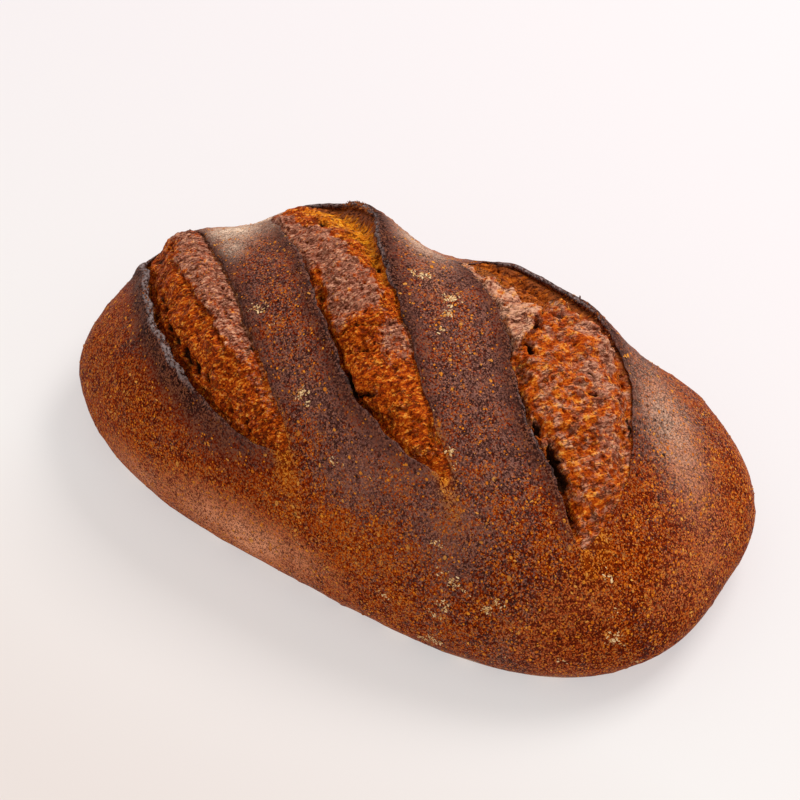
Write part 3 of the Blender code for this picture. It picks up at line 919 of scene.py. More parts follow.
# The crumb's own relief. Its swells, strings and ledges have sizes along and across the scores.
CRUMB_SWELL_SIZE = (5.5 * MM, 5.5 * MM)
CRUMB_SWELL_HEIGHT = 0.9 * MM
STRING_SIZE = (2.4 * MM, 8 * MM)
STRING_BEND_SIZE = (9 * MM, 12 * MM)
STRING_PATCH_SIZE = (11 * MM, 8 * MM)
STRING_HEIGHT = 0.5 * MM
BROAD_LEDGE_SIZE = (8 * MM, 14 * MM)
SMALL_LEDGE_SIZE = (3 * MM, 4 * MM)
CREASE_PATCH_SIZE = (6 * MM, 6 * MM)
CREASE_SHADE = 0.62
SPOT_RAG_SIZE = (2.4 * MM, 2.4 * MM)
SPOT_RAG_ALONG = 2.2 * MM
SPOT_RAG_ACROSS = 1.3 * MM
HOLLOW_DEPTH = 5.0 * MM

# The far half of the right-hand score is a dark hollow: its near edge runs along a strip of skin and its end
# across the score, given as points along and across.
HOLLOW_STRIP = ((-40, -12, -2, 3, 9, 15, 20), (30, 31, 34, 37, 39.5, 41.5, 43))
HOLLOW_END = ((43, 48, 53, 57, 62, 67, 72), (19, 12, 10.5, 10, 6.5, 3.5, 2))
BRIGHT_FLAKES = ((11, 52, 1.3, 5, 0.4), (5.5, 64, 2, 3.5, 0.4), (8, 59, 1.5, 2.5, 0.3))


def crumb_noise(s, d, size, seed):
    return flat_noise(s / size[0], d / size[1], seed)


def far_hollow(s, d, seed):
    """1 inside the dark hollow and 0 outside it, with a ragged edge."""
    past_strip = d / MM - np.interp(s / MM, *HOLLOW_STRIP)
    before_end = np.interp(d / MM, *HOLLOW_END) - s / MM
    ragged = (
        flat_noise(s / (4 * MM), d / (4 * MM), seed) * 2.2
        + flat_noise(s / (1.6 * MM), d / (1.6 * MM), seed + 1)
    )
    return smooth_step((np.minimum(past_strip, before_end) + ragged) / 1.6)


def tear_relief(s, d, tears, seed):
    """Steps with a ragged edge and a crack beside them, along each torn edge, and how far each place lies in
    a crack, for the painted shade there.
    """
    rise = np.zeros(len(s))
    depth = np.zeros(len(s))
    place = np.column_stack([s, d])
    ragged = np.zeros(len(s))
    for k, (size, height) in enumerate(TEAR_RAGS):
        ragged += crumb_noise(s, d, (size, size), seed + k) * height
    for step, decay, crack, corners in tears:
        points = np.array(corners) * MM
        nearest = np.full(len(s), 1.0)
        signed = np.zeros(len(s))
        at_end = np.zeros(len(s))
        lengths = np.linalg.norm(np.diff(points, axis=0), axis=1)
        run = np.concatenate([[0], np.cumsum(lengths)])
        for k, (start, way) in enumerate(zip(points[:-1], np.diff(points, axis=0))):
            share = np.clip(((place - start) @ way) / (way @ way), 0, 1)
            off = place - start - share[:, None] * way
            away = np.linalg.norm(off, axis=1)
            side = np.sign(way[0] * off[:, 1] - way[1] * off[:, 0])
            closer = away < nearest
            nearest = np.where(closer, away, nearest)
            signed = np.where(closer, side * away, signed)
            gone = run[k] + share * lengths[k]
            at_end = np.where(closer, np.minimum(gone, run[-1] - gone), at_end)
        ends = smooth_step((at_end + 0.5 * MM) / TEAR_RUN_OUT)
        ends = ends * smooth_step((decay * 1.6 * MM - nearest) / TEAR_SIDE_RUN_OUT)
        signed = signed + ragged * ends
        raised = smooth_step(signed / STEP_WIDTH * np.sign(step or 1) + 0.5)
        rise += abs(step) * MM * raised * np.exp(-np.abs(signed) / (decay * MM)) * ends
        cut = np.exp(-(((signed * np.sign(step or 1) + CRACK_BESIDE) / CRACK_WIDTH) ** 2)) * ends
        rise -= crack * MM * cut
        depth = np.maximum(depth, cut * min(crack, 1.2))
    return rise, depth


def crumb_relief(name, s, d, index):
    """The torn crumb's lumps, stringy ridges, torn edges and pits, and how far each place lies in pits,
    cracks and creases, for the painted shade there.
    """
    seed = 30 + 10 * index
    level = np.column_stack([s * along[0] + d * across[0], s * along[1] + d * across[1], 0 * s])
    rise = gradient_noise(level / LOBE_SIZE, LOBE_SEED) * LOBE_HEIGHT
    rise += crumb_noise(s, d, CRUMB_SWELL_SIZE, seed) * CRUMB_SWELL_HEIGHT
    bend = crumb_noise(s, d, STRING_BEND_SIZE, seed + 1) * 1.2
    string = 1 - 2 * np.abs(flat_noise(s / STRING_SIZE[0] + bend, d / STRING_SIZE[1], seed + 2))
    rise += string * STRING_HEIGHT * smooth_step(0.6 + crumb_noise(s, d, STRING_PATCH_SIZE, seed + 3))
    ledge = 2.4 * crumb_noise(s, d, BROAD_LEDGE_SIZE, seed + 8)
    ledge += 0.7 * crumb_noise(s, d, SMALL_LEDGE_SIZE, seed + 9)
    through = ledge - np.floor(ledge)
    rise += (np.floor(ledge) + smooth_step((through - 0.36) / 0.28)) * LEDGE_HEIGHT[name]
    # Creases at the feet of the ledges, which get painted shade.
    crease = np.exp(-(((through - 0.40) / 0.07) ** 2))
    crease = crease * smooth_step(0.4 + 2 * crumb_noise(s, d, CREASE_PATCH_SIZE, seed + 11))
    torn, depth = tear_relief(s, d, CRUMB_TEARS[name], seed + 4)
    depth = np.maximum(depth * 0.8, crease * CREASE_SHADE)
    rise += torn
    drift_s = crumb_noise(s, d, SPOT_RAG_SIZE, seed + 6) * SPOT_RAG_ALONG
    drift_d = crumb_noise(s, d, SPOT_RAG_SIZE, seed + 7) * SPOT_RAG_ACROSS
    for along_mm, across_mm, reach_s, reach_d, height in CRUMB_SPOTS[name]:
        away = (
            ((s + drift_s) / MM - along_mm) ** 2 / reach_s**2
            + ((d + drift_d) / MM - across_mm) ** 2 / reach_d**2
        )
        bump = np.exp(-(away**1.7))
        rise += height * MM * bump
        depth = np.maximum(depth, -bump * min(height / 3, 0))
    if name == "right":
        rise -= HOLLOW_DEPTH * far_hollow(s, d, seed + 12)
    return rise, depth


def on_loaf(plan, height):
    """The point at a height over the loaf's own uneven surface."""
    plain = dome_point(*plan.T)
    raised = plain + dome_normal(*plan.T) * height[:, None]
    placed = swollen(sunk(raised, plain))
    placed[:, :2] -= centre
    return placed


def baked_share(name, s, d, q):
    """How far the crumb's surface has browned, by its place along and across the score."""
    s, d = s / MM, d / MM
    if name == "left":
        skin_edge = np.interp(s, (-99, -71, -39, -16, -8, 0), (-66, -70, -69, -66, -65, -61))
        band = smooth_step((d - skin_edge) / 1.6) * smooth_step((0 - s) / 12)
        return np.maximum(band, 0.45 * smooth_step((q - 0.65) / 0.2) * smooth_step((24 - s) / 12))
    if name == "middle":
        cavity = np.interp(
            s, (-90, -70, -56, -50, -37, -27, -17, -9, 2, 12), (-27, -22, -19, -15, -12, -13, -8, -9, -11, -8)
        )
        crown = smooth_step((cavity - d) / 1.6) * smooth_step((10 - s) / 8)
        flank = smooth_step((s + 32) / 8) * smooth_step((-25 - 0.12 * (s + 20) - d) / 3)
        lower = smooth_step((q - 0.45) / 0.25) * smooth_step((34 - s) / 14) * smooth_step((s - 8) / 6)
        return np.maximum(crown * (1 - flank), lower * 0.85)
    edge = np.interp(s, (-8, -3, 3, 9, 17, 22, 26, 30, 36), (33, 36, 40, 43, 43, 39, 37, 32.5, 27))
    strip = smooth_step((edge - d) / 1.4) * smooth_step((36 - s) / 3)
    high = patches(
        s * MM,
        d * MM,
        ((28, 58, 8, 6, 1.1), (38, 62, 9, 5, 1.2), (48, 54, 13, 8, 1.0), (70, 52, 14, 9, 0.85)),
    )
    return np.maximum(strip * 1.6, np.maximum(high, 0.5))


def crumb_body(name, stations, index):
    outline = OUTLINES[name]
    at = outline["at"]
    start, end = outline["s"][[0, -1]]
    rows = int((end - start) / CRUMB_STEP)
    s_line = np.linspace(start + CRUMB_END, end - CRUMB_END, rows)
    widest = (at["far"] - at["near"]).max() + 2 * CRUMB_TUCK
    columns = int(widest * 1.2 / CRUMB_STEP)
    t = np.linspace(0, 1, columns)
    q = t - 0.06 * np.sin(2 * math.pi * t)
    picked = {key: np.interp(s_line, outline["s"], at[key])[:, None] for key in at}
    hollow = np.interp(s_line, [row[0] * MM for row in stations], np.array(FAR_HOLLOW[name]) * MM)[:, None]
    near, far = picked["near_rim"], picked["far_rim"]
    wide = smooth_step((far - near) / NARROW_END)
    tuck = CRUMB_TUCK * wide + LIP_CLEARANCE
    d = near - tuck + q[None, :] * (far - near + 2 * tuck)
    s = np.broadcast_to(s_line[:, None], d.shape)
    from_near, from_far = d - near, far - d
    crown = picked["crown"] * (1 - np.exp(-((np.maximum(from_near, 0) / CROWN_REACH) ** 2)))
    crown = crown * (1 - np.exp(-((np.maximum(from_far, 0) / FAR_CROWN_REACH) ** 2)))
    flat_s = s.ravel()
    opened = smooth_step(0.5 + flat_noise(flat_s / (8 * MM), 0 * flat_s, 90 + index)).reshape(d.shape)
    opened = 0.55 + 0.45 * opened
    reach = GAP_REACH * opened
    gap = (
        picked["near_gap"] * (1 - NEAR_FILL[name]) * opened
        * np.exp(-((np.maximum(from_near, 0) / reach) ** 2))
    )
    open_share = (
        FAR_OPEN[name][0] + (FAR_OPEN[name][1] - FAR_OPEN[name][0]) * smooth_step((s_line / MM - 15) / 20)
    )
    gap = gap + picked["far_gap"] * open_share[:, None] * np.exp(-((np.maximum(from_far, 0) / hollow) ** 2))
    inner = smooth_step(from_near / (2 * MM)) * smooth_step(from_far / (1.5 * MM)) * wide
    relief, pit = crumb_relief(name, s.ravel(), d.ravel(), index)
    relief, pit = relief.reshape(d.shape), pit.reshape(d.shape)
    height = crown - gap + relief * inner
    far_wall = smooth_step((0.45 * hollow - from_far) / (0.45 * hollow + tuck))
    far_lip = LIP_THICKNESS * (0.15 + 0.85 * picked["far_edge"]) * wide
    under_far = picked["far_lift"] - far_lip - LIP_CLEARANCE
    height = height * (1 - far_wall) + under_far * far_wall
    closing = (
        smooth_step((0.35 - picked["near_edge"]) / 0.3) * smooth_step((1.0 * MM - from_near) / (2.5 * MM))
    )
    closing = np.maximum(
        closing,
        smooth_step((0.4 - picked["far_edge"]) / 0.2)
        * smooth_step((1.2 * MM - from_far) / (3 * MM))
        * (s > 0),
    )
    height = height * (1 - closing) - 0.2 * MM * closing - CRUMB_SUNK
    back = np.linspace(1, 0, CRUMB_UNDER + 2)[1:-1]
    low_d = near - tuck + (0.08 + 0.84 * back[None, :]) * (far - near + 2 * tuck)
    low_h = -(np.maximum(picked["near_gap"], picked["far_gap"]) + CRUMB_DEPTH * wide + 1.5 * MM)
    ring_d = np.concatenate([d, low_d], axis=1)
    ring_h = np.concatenate([height, np.broadcast_to(low_h, low_d.shape)], axis=1)
    ring_s = np.broadcast_to(s_line[:, None], ring_d.shape)
    plan = ring_s.reshape(-1, 1) * along + ring_d.reshape(-1, 1) * across
    points = on_loaf(plan, ring_h.ravel())
    around = ring_d.shape[1]
    index_of = np.arange(rows * around).reshape(rows, around)
    right_of = np.roll(index_of, -1, axis=1)
    quads = np.stack([index_of[:-1], index_of[1:], right_of[1:], right_of[:-1]], axis=-1).reshape(-1, 4)
    faces = [tuple(f) for f in quads]
    faces.append(tuple(index_of[0]))
    faces.append(tuple(index_of[-1][::-1]))
    mesh = bpy.data.meshes.new("crumb_" + name)
    mesh.from_pydata(points, [], faces)
    shaped = bmesh.new()
    shaped.from_mesh(mesh)
    bmesh.ops.recalc_face_normals(shaped, faces=shaped.faces)
    ends = [f for f in shaped.faces if len(f.verts) > 4]
    bmesh.ops.triangulate(shaped, faces=ends)
    shaped.to_mesh(mesh)
    shaped.free()
    sponge = gradient_noise(points / (2.6 * MM), 60 + index) * 0.5
    sponge += gradient_noise(points / (1.2 * MM), 63 + index) * 0.3
    pores = np.maximum(gradient_noise(points / (1.7 * MM), 65 + index) - 0.25, 0) * 2.0
    fine = sponge - pores
    keep = np.concatenate([inner, np.zeros(low_d.shape)], axis=1).ravel()
    edge_keep = np.concatenate([np.ones(d.shape), np.zeros(low_d.shape)], axis=1).ravel()
    points = points + vertex_normals(mesh) * (fine * MM * (0.3 * edge_keep + 0.7 * keep))[:, None]
    mesh.vertices.foreach_set("co", points.ravel())
    q_share = np.clip(from_near / np.maximum(far - near, TINY), 0, 1)
    q_share = np.concatenate([q_share, np.zeros(low_d.shape)], axis=1)
    wander = gradient_noise(points / (5 * MM), 66 + index) * 3.0 * MM
    wander += gradient_noise(points / (1.8 * MM), 69 + index) * 1.2 * MM
    baked = baked_share(name, ring_s.ravel(), ring_d.ravel() + wander, q_share.ravel())
    baked *= smooth_step(1 + (ring_h.ravel() + 1.0 * MM) / (4 * MM))
    # Painted shade in the pits, cracks and creases, and deep under the near lip.
    pit = np.concatenate([pit, np.zeros(low_d.shape)], axis=1).ravel()
    pit = np.maximum(pit, smooth_step((-ring_h.ravel() - 2.5 * MM) / (5 * MM)) * (q_share.ravel() < 0.3))
    # How deep each place lies in the cave under the far lip, where the caves' painted light and painted shade
    # go.
    far_cave = smooth_step((-ring_h.ravel() - 0.5 * MM) / (5 * MM)) * (q_share.ravel() > 0.45)
    if name == "right":
        far_cave = np.maximum(far_cave * 0.5, far_hollow(ring_s.ravel(), ring_d.ravel(), 72))
        baked *= 1 - far_cave
    strand = 0.55 + 0.9 * flat_noise(s.ravel() / (0.8 * MM), d.ravel() / (9 * MM), 75).reshape(s.shape)
    strand += 0.6 * flat_noise(s.ravel() / (2.6 * MM), d.ravel() / (12 * MM), 76).reshape(s.shape)
    fringe_reach = np.interp(s_line / MM, *FRINGE[name])[:, None] * MM * np.maximum(strand, 0.1)
    fringe = smooth_step((fringe_reach - from_far) / (1.0 * MM) + 0.5) * (fringe_reach > 0.2 * MM)
    fringe = np.concatenate([fringe, np.zeros(low_d.shape)], axis=1).ravel()
    bright = 0.3 * np.clip(baked - 1, 0, 1)
    if name == "right":
        bright += patches(ring_s.ravel() + 0.3 * wander, ring_d.ravel(), BRIGHT_FLAKES)
    most_baked = 0.88 if name == "right" else 1.0
    paint(mesh, baked=np.clip(baked, 0, most_baked), pit=np.clip(pit, 0, 1), cave=far_cave, bright=bright)
    # Painted light and shade from the fine relief, which also browns the raised bits.
    paint(
        mesh, tip=np.clip(0.5 + fine * 0.6, 0, 1), shown=keep * (1 - np.clip(pit * 1.5, 0, 1)), fringe=fringe
    )
    mesh.update()
    return mesh


def crumb_material(name, cave_colour, lift, grit, drawn):
    """Torn crumb, with how light and how gritty it is and how far its strings are drawn out crosswise."""
    material, tree, shader = new_material(name)
    place = object_place(tree)
    crosswise = stretched_place(place, (0, 0, SCORE_ANGLE), (1.0, drawn, 1.3))
    crossing = stretched_place(place, (0, 0, SCORE_ANGLE), (0.8, 2.2, 1.3))
    pit, tip = stored(tree, "pit"), stored(tree, "tip")
    clouds = noise_at(place, 3.6 * MM, 4.0, 0.6)
    strings = noise_at(crosswise, 1.3 * MM, 3.0, 0.65, 0.2)
    fine = noise_at(place, 0.75 * MM, 2.0, 0.6)
    _, granule = specks(crosswise, 0.5 * MM, **ANY_SPECKS)
    _, tinge = specks(place, 0.6 * MM, **ANY_SPECKS)
    # The raised bits of the fine relief are painted lighter and its hollows darker, as painted light and
    # shade.
    level = strings * 1.6 + tip * 0.5 + granule * grit + fine * 0.7 + stored(tree, "bright")
    level = level + (lift - 0.88 - 0.5 * grit)
    orange = colours_of(
        level,
        (0.08, (0.080, 0.007, 0.001)),
        (0.30, (0.22, 0.023, 0.001)),
        (0.50, (0.38, 0.046, 0.001)),
        (0.65, (0.53, 0.086, 0.003)),
        (0.80, (0.70, 0.165, 0.008)),
        (0.95, (0.90, 0.36, 0.05)),
    )
    # Baked purple-brown skin; the pale lilac at its light end is painted sheen.
    brown = colours_of(
        level,
        (0.08, (0.07, 0.015, 0.006)),
        (0.30, (0.19, 0.053, 0.027)),
        (0.50, (0.32, 0.112, 0.064)),
        (0.65, (0.43, 0.168, 0.100)),
        (0.80, (0.56, 0.25, 0.150)),
        (0.95, (0.75, 0.39, 0.24)),
    )
    # Raised bits of the relief also lean to the baked skin's colours.
    share = stored(tree, "baked") + clouds * 2.6 + tinge * (1.5 * grit) + tip * 0.6 - (1.6 + 0.75 * grit)
    colour = blended(ramp_of(share, 0.3, 0.95), orange, brown)
    # The caves' colours: orange crumb made lighter as painted light in the left and middle scores, and dark
    # red-brown crumb as painted shade in the right one.
    colour = blended(stored(tree, "cave") * 0.9, colour, colours_of(level, *cave_colour))
    # Painted shade in the pores, the low spots of the fine relief.
    colour = blended(ramp_of(fine, 0.34, 0.42, 0.6, 0.0), colour, (0.07, 0.012, 0.002))
    # Painted shade along the crosswise fold lines, which the bump also dents.
    fold = (noise_at(crossing, 3.6 * MM, 3.0, 0.6, 0.4) - 0.5).maths("ABSOLUTE")
    painted_fold_shade = ramp_of(fold, 0.010, 0.038, 1.0, 0.0) * ramp_of(clouds, 0.42, 0.52)
    colour = blended(painted_fold_shade * 0.75, colour, (0.10, 0.016, 0.003))
    sparks, _ = specks(place, 1.5 * MM, 0.25, 0.34)
    colour = blended(sparks * 0.6, colour, (0.80, 0.28, 0.03))
    strands = blended(ramp_of(level, 0.3, 0.7), (0.035, 0.008, 0.003), (0.30, 0.075, 0.018))
    colour = blended(stored(tree, "fringe") * 0.9, colour, strands)
    # Near black painted shade in the pits, cracks, creases and deep under the near lip.
    colour = blended(ramp_of(pit + fine * 1.2 - 0.6, 0.4, 0.95), colour, (0.024, 0.007, 0.002))
    colour.feeds(shader.inputs["Base Color"])
    ramp_of(strings, 0.3, 0.7, 0.62, 0.42).feeds(shader.inputs["Roughness"])
    shader.inputs["Specular IOR Level"].default_value = 0.04
    bump_of(strings * 0.6 + fine * 0.7 - painted_fold_shade * 0.5, 0.7 * MM).feeds(shader.inputs["Normal"])
    return material


# Cave colours by lightness: orange crumb raised as painted light where the cave is shaded, and dark red-brown
# crumb darkened as painted shade.
CAVE_CRUMB_AND_PAINTED_LIGHT = ((0.1, (0.36, 0.06, 0.002)), (0.45, (0.78, 0.22, 0.006)), (0.8, (0.98, 0.42, 0.018)))
CAVE_CRUMB_AND_PAINTED_SHADE = ((0.1, (0.04, 0.005, 0.001)), (0.45, (0.15, 0.024, 0.002)), (0.8, (0.52, 0.115, 0.008)))
CRUMB_LOOKS = {
    "left": crumb_material("torn crumb", CAVE_CRUMB_AND_PAINTED_LIGHT, 0.02, 0.5, 2.2),
    "middle": crumb_material("torn crumb with a bright cave", CAVE_CRUMB_AND_PAINTED_LIGHT, 0.04, 0.42, 2.2),
    "right": crumb_material("torn crumb with a dark cave", CAVE_CRUMB_AND_PAINTED_SHADE, 0.12, 0.16, 3.8),
}
crumbs = {}
for index, (name, stations) in enumerate(SCORES.items()):
    mesh = crumb_body(name, stations, index)
    mesh.materials.append(CRUMB_LOOKS[name])
    mesh.shade_smooth()
    crumbs[name] = bpy.data.objects.new("crumb_" + name, mesh)
    bpy.context.scene.collection.objects.link(crumbs[name])
    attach(crumbs[name], "root")
    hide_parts("loaf")

# What is baked onto the loaf: golden bran flakes all over the crust, clusters of cream bran, dry shreds of
# crumb, and the fibres of the torn ears. Flakes are spread over the skin where "cover" is high.
def scatter_group():
    """Crumpled flakes spread over a mesh where its "cover" is high, each with a "tone" of its own."""
    group = bpy.data.node_groups.new("spread flakes", "GeometryNodeTree")
    sockets = (
        ("Skin", "Geometry", None),
        ("Per Square Metre", "Float", 1000.0),
        ("Seed", "Int", 1),
        ("Length", "Float", 1.0 * MM),
        ("Width", "Float", 0.6 * MM),
        ("Thickness", "Float", 0.3 * MM),
        ("Tilt", "Float", 0.4),
        ("Crumple", "Float", 0.4 * MM),
        ("Material", "Material", None),
    )
    for label, kind, value in sockets:
        socket = group.interface.new_socket(name=label, in_out="INPUT", socket_type="NodeSocket" + kind)
        if value is not None:
            socket.default_value = value
    group.interface.new_socket(name="Flakes", in_out="OUTPUT", socket_type="NodeSocketGeometry")
    given = group.nodes.new("NodeGroupInput").outputs
    floating = {"data_type": "FLOAT"}
    cover = made(group, "GeometryNodeInputNamedAttribute", floating, {"Name": "cover"}, "Attribute")
    density = cover * given["Per Square Metre"]
    inputs = {"Mesh": given["Skin"], "Density": density, "Seed": given["Seed"]}
    points = add_node(group, "GeometryNodeDistributePointsOnFaces", (), inputs)
    ball = made(group, "GeometryNodeMeshIcoSphere", (), {"Radius": 0.5, "Subdivisions": 1}, "Mesh")
    lengths = {0: given["Length"], 1: given["Width"], 2: given["Thickness"]}
    size = made(group, "ShaderNodeCombineXYZ", (), lengths)
    flake = made(group, "GeometryNodeTransform", (), {"Geometry": ball, "Scale": size})
    back = Value(given["Tilt"]) * -1.0
    low = made(group, "ShaderNodeCombineXYZ", (), {0: back, 1: back, 2: -math.pi})
    high = made(group, "ShaderNodeCombineXYZ", (), {0: given["Tilt"], 1: given["Tilt"], 2: math.pi})
    ends = {"Min": low, "Max": high, "Seed": given["Seed"]}
    turn = made(group, "FunctionNodeRandomValue", {"data_type": "FLOAT_VECTOR"}, ends)
    turns = {0: points.outputs["Rotation"], 1: turn}
    turned = made(group, "FunctionNodeRotateRotation", {"rotation_space": "LOCAL"}, turns)
    growth = made(group, "FunctionNodeRandomValue", floating, {2: 0.45, 3: 1.35}, 1)
    inputs = {"Points": points.outputs["Points"], "Instance": flake, "Rotation": turned, "Scale": growth}
    spread = made(group, "GeometryNodeInstanceOnPoints", (), inputs)
    tone = made(group, "FunctionNodeRandomValue", floating, {"Seed": 9}, 1)
    settings = {"data_type": "FLOAT", "domain": "INSTANCE"}
    inputs = {"Geometry": spread, "Name": "tone", "Value": tone}
    toned = made(group, "GeometryNodeStoreNamedAttribute", settings, inputs)
    real = made(group, "GeometryNodeRealizeInstances", (), {"Geometry": toned})
    inputs = {"Vector": made(group, "GeometryNodeInputPosition"), "Scale": 1 / (0.9 * MM), "Detail": 1.0}
    rough = made(group, "ShaderNodeTexNoise", (), inputs, "Color")
    offset = made(group, "ShaderNodeVectorMath", {"operation": "SUBTRACT"}, {0: rough, 1: (0.5, 0.5, 0.5)})
    pushed = {0: offset, "Scale": given["Crumple"]}
    pushed = made(group, "ShaderNodeVectorMath", {"operation": "SCALE"}, pushed)
    moved = made(group, "GeometryNodeSetPosition", (), {"Geometry": real, "Offset": pushed})
    inputs = {"Geometry": moved, "Material": given["Material"]}
    finished = made(group, "GeometryNodeSetMaterial", (), inputs)
    finished.feeds(group.nodes.new("NodeGroupOutput").inputs[0])
    return group


FLAKES = scatter_group()


def spread_flakes(name, skin_mesh, cover, material, **settings):
    """Spreads flakes over a copy of a skin and keeps them as a plain mesh."""
    covered = skin_mesh.copy()
    paint(covered, cover=cover)
    piece = bpy.data.objects.new(name, covered)
    bpy.context.scene.collection.objects.link(piece)
    modifier = piece.modifiers.new("spread flakes", "NODES")
    modifier.node_group = FLAKES
    labels = {s.name: s.identifier for s in FLAKES.interface.items_tree if s.in_out == "INPUT"}
    for label, value in settings.items():
        modifier[labels[label.replace("_", " ")]] = value
    modifier[labels["Material"]] = material
    evaluated = piece.evaluated_get(bpy.context.evaluated_depsgraph_get())
    flakes = bpy.data.meshes.new_from_object(evaluated)
    piece.modifiers.remove(modifier)
    piece.data = flakes
    bpy.data.meshes.remove(covered)
    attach(piece, "root")
    return piece


def flake_material(name, dark, pale):
    material, tree, shader = new_material(name)
    share = stored(tree, "tone") + noise_at(object_place(tree), 0.7 * MM) * 1.4 - 0.7
    blended(share, dark, pale).feeds(shader.inputs["Base Color"])
    ramp_of(share, 0.0, 1.0, 0.5, 0.75).feeds(shader.inputs["Roughness"])
    shader.inputs["Specular IOR Level"].default_value = 0.15
    return material


# Clusters of cream bran: the middle in space, the reach and the strength, in millimetres.
CREAM_CLUMPS = (
    (66, -69, 43, 2.2, 1), (62, -69, 45, 1.6, 1), (71, -69, 42, 1.4, 0.8), (64, -73, 34, 2.0, 1),
    (61, -75, 29, 1.6, 1), (62, -75, 15, 2.4, 1), (57, -76, 12, 1.8, 0.9), (42, -77, 28, 1.2, 0.7),
    (56, -65, 54, 1.4, 0.8), (-50, -29, 84, 1.8, 1), (-47, -29, 85, 1.4, 0.8), (-39, -33, 86, 1.5, 0.8),
    (-25, -41, 84, 1.2, 0.8), (-13, -50, 78, 2.4, 1), (-11, -53, 77, 1.8, 1), (79, -68, 37, 1.8, 0.8),
    (83, -66, 40, 2.0, 0.8), (32, -9, 92, 1.4, 0.7), (13, 7, 95, 2.4, 1), (17, -1, 95, 2.2, 1),
    (19, -9, 94, 1.6, 0.8), (-2, 12, 95, 2.4, 1), (-7, 11, 95, 1.8, 0.8), (112, -38, 47, 1.8, 0.8),
    (119, -43, 38, 1.6, 0.7), (121, -49, 29, 2.4, 1), (124, -47, 27, 1.6, 0.9), (8, -62, 66, 1.3, 0.7),
    (14, -62, 67, 1.2, 0.7), (34, -36, 84, 1.4, 0.7), (47, -44, 78, 1.8, 0.9), (51, -47, 75, 1.5, 0.8),
    (44, -48, 74, 1.2, 0.7), (107, -61, 20, 1.5, 0.6), (87, -70, 18, 1.6, 0.6), (130, -5, 36, 1.2, 0.5),
    (4, -77, 34, 1.0, 0.6), (-73, -65, 52, 1.3, 0.6), (-105, -61, 25, 1.2, 0.5), (128, -41, 14, 1.6, 0.8),
    (20, 62, 62, 1.8, 0.8), (70, 60, 50, 1.6, 0.7), (-60, 66, 48, 1.8, 0.8), (-100, 40, 40, 1.5, 0.7),
    (-20, 74, 30, 1.8, 0.7), (100, 48, 34, 1.6, 0.7), (-40, 60, 60, 1.4, 0.7), (50, 70, 24, 1.6, 0.6),
)
golden_bran = flake_material("golden bran", (0.36, 0.085, 0.006), (0.78, 0.34, 0.055))
cream_bran = flake_material("cream bran", (0.52, 0.24, 0.05), (0.90, 0.66, 0.36))
rind_shred = flake_material("dark rind shreds", (0.10, 0.022, 0.006), (0.42, 0.12, 0.02))
skin_z = skin[:, 2]
open_skin = smooth_step((skin_z - 3 * MM) / (6 * MM)) * (1 - torn) * (1 - 0.7 * char)
scattered = smooth_step(0.5 + 1.4 * gradient_noise(skin / (9 * MM), 25))
spread_flakes(
    "bran_flakes",
    crust_mesh,
    open_skin * scattered * (1.1 - 0.6 * toast),
    golden_bran,
    Per_Square_Metre=26000.0,
    Seed=3,
    Length=1.5 * MM,
    Width=0.8 * MM,
    Thickness=0.4 * MM,
    Tilt=0.25,
    Crumple=0.6 * MM,
)
clumps = blots(skin, [((x, y, z), (1.3 * reach,) * 3, amount) for x, y, z, reach, amount in CREAM_CLUMPS])
broken = gradient_noise(np.column_stack([skin_s / 2.6, skin_d / 1.1, skin_z / 1.6]) / MM, 27)
clumps = smooth_step((clumps - 0.45 + 0.8 * broken) / 0.35) * (clumps > 0.04)
spread_flakes(
    "cream_flakes",
    crust_mesh,
    clumps,
    cream_bran,
    Per_Square_Metre=1.7e6,
    Seed=5,
    Length=1.5 * MM,
    Width=0.6 * MM,
    Thickness=0.3 * MM,
    Tilt=0.5,
    Crumple=0.7 * MM,
)
EAR_SPOTS = (
    (-78, 3, 15, 3.2, 1.0), (-30, 1, 24, 2.5, 0.25), (0, 70, 30, 3.0, 0.5), (-50, -86, 40, 3, 0.15),
    (60, 27, 40, 3, 0.15),
)
spread_flakes(
    "ear_fibres",
    crust_mesh,
    patches(skin_s, skin_d, EAR_SPOTS) * lip_rows,
    rind_shred,
    Per_Square_Metre=1.6e6,
    Seed=8,
    Length=0.5 * MM,
    Width=0.45 * MM,
    Thickness=2.1 * MM,
    Tilt=0.5,
    Crumple=0.7 * MM,
)
for index, (name, crumb) in enumerate(crumbs.items()):
    layers = crumb.data.attributes
    shown = np.empty(len(crumb.data.vertices), np.float32)
    layers["shown"].data.foreach_get("value", shown)
    spread_flakes(
        "shreds_" + name,
        crumb.data,
        shown,
        CRUMB_LOOKS[name],
        Per_Square_Metre=0.35e5,
        Seed=11 + index,
        Length=1.5 * MM,
        Width=0.8 * MM,
        Thickness=0.4 * MM,
        Tilt=0.6,
        Crumple=1.0 * MM,
    )

# The floor and the light: a pale table that glows by itself as painted light, dimmer and warmer towards
# the near side, under a wide soft light from above and behind, with a bright room all round.
FLOOR_REACH = 4.0
floor_mesh = bpy.data.meshes.new("floor")
ground = bmesh.new()
bmesh.ops.create_grid(ground, x_segments=1, y_segments=1, size=FLOOR_REACH)
ground.to_mesh(floor_mesh)
ground.free()
floor_material, floor_tree, floor_shader = new_material("pale table")
floor_shader.inputs["Base Color"].default_value = (0.40, 0.37, 0.35, 1)
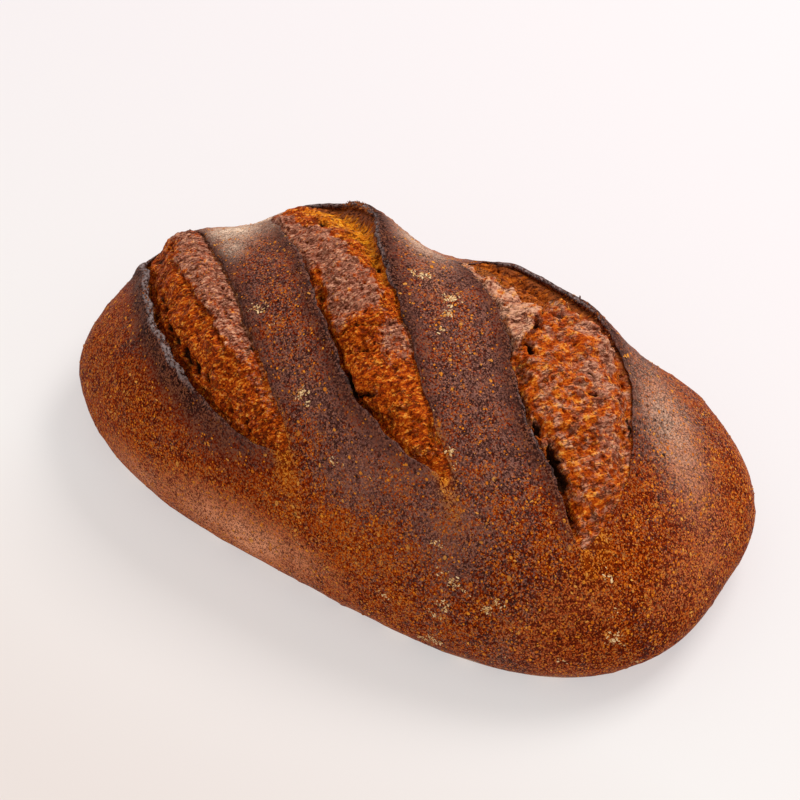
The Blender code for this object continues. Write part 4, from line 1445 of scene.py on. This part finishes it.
# The table's own glow is painted light that fills in the shadows; it is dimmer and warmer towards the near
# side.
floor_depth = made(floor_tree, "ShaderNodeSeparateXYZ", (), {"Vector": object_place(floor_tree)}, "Y")
floor_glow = colours_of(
    ramp_of(floor_depth, -0.25, 0.25),
    (0.03, (0.82, 0.733, 0.694)),
    (0.3, (0.935, 0.93, 0.93)),
    (1.0, (0.915, 0.875, 0.935)),
)
floor_glow.feeds(floor_shader.inputs["Emission Color"])
floor_shader.inputs["Emission Strength"].default_value = 0.52
floor_shader.inputs["Roughness"].default_value = 0.6
floor_shader.inputs["Specular IOR Level"].default_value = 0.2
floor_mesh.materials.append(floor_material)
floor = bpy.data.objects.new("floor", floor_mesh)
bpy.context.scene.collection.objects.link(floor)


def soft_light(name, place, width, height, watts, colour, target=(0, 0, 0.04)):
    data = bpy.data.lights.new(name, "AREA")
    data.shape = "RECTANGLE"
    data.size, data.size_y = width, height
    data.energy = watts
    data.color = colour
    light = bpy.data.objects.new(name, data)
    light.location = place
    light.rotation_euler = (Vector(place) - Vector(target)).to_track_quat("Z", "Y").to_euler()
    bpy.context.scene.collection.objects.link(light)


soft_light("overhead", place=(0.25, 0.9, 1.3), width=0.8, height=0.6, watts=17, colour=(0.97, 0.985, 1.0))
world = bpy.data.worlds.new("pale room")
world.use_nodes = True
world.node_tree.nodes["Background"].inputs["Color"].default_value = (1.0, 0.95, 0.92, 1)
world.node_tree.nodes["Background"].inputs["Strength"].default_value = 0.68
bpy.context.scene.world = world
bpy.context.scene.view_settings.view_transform = "Standard"

# The camera: a long lens from the loaf's near right, 46 degrees above the table.
CAMERA_TURN = math.radians(34.43)
CAMERA_RISE = math.radians(46)
CAMERA_AWAY = 1.1
AIM = Vector((-0.0029, -0.0026, 0.040))
back_way = Vector(
    (
        math.sin(CAMERA_TURN) * math.cos(CAMERA_RISE),
        -math.cos(CAMERA_TURN) * math.cos(CAMERA_RISE),
        math.sin(CAMERA_RISE),
    ),
)
camera_data = bpy.data.cameras.new("camera")
camera_data.sensor_width = 36
camera_data.lens = 130.3
camera = bpy.data.objects.new("camera", camera_data)
camera.location = AIM + back_way * CAMERA_AWAY
camera.rotation_euler = back_way.to_track_quat("Z", "Y").to_euler()
bpy.context.scene.collection.objects.link(camera)
bpy.context.scene.camera = camera

bpy.context.view_layer.update()
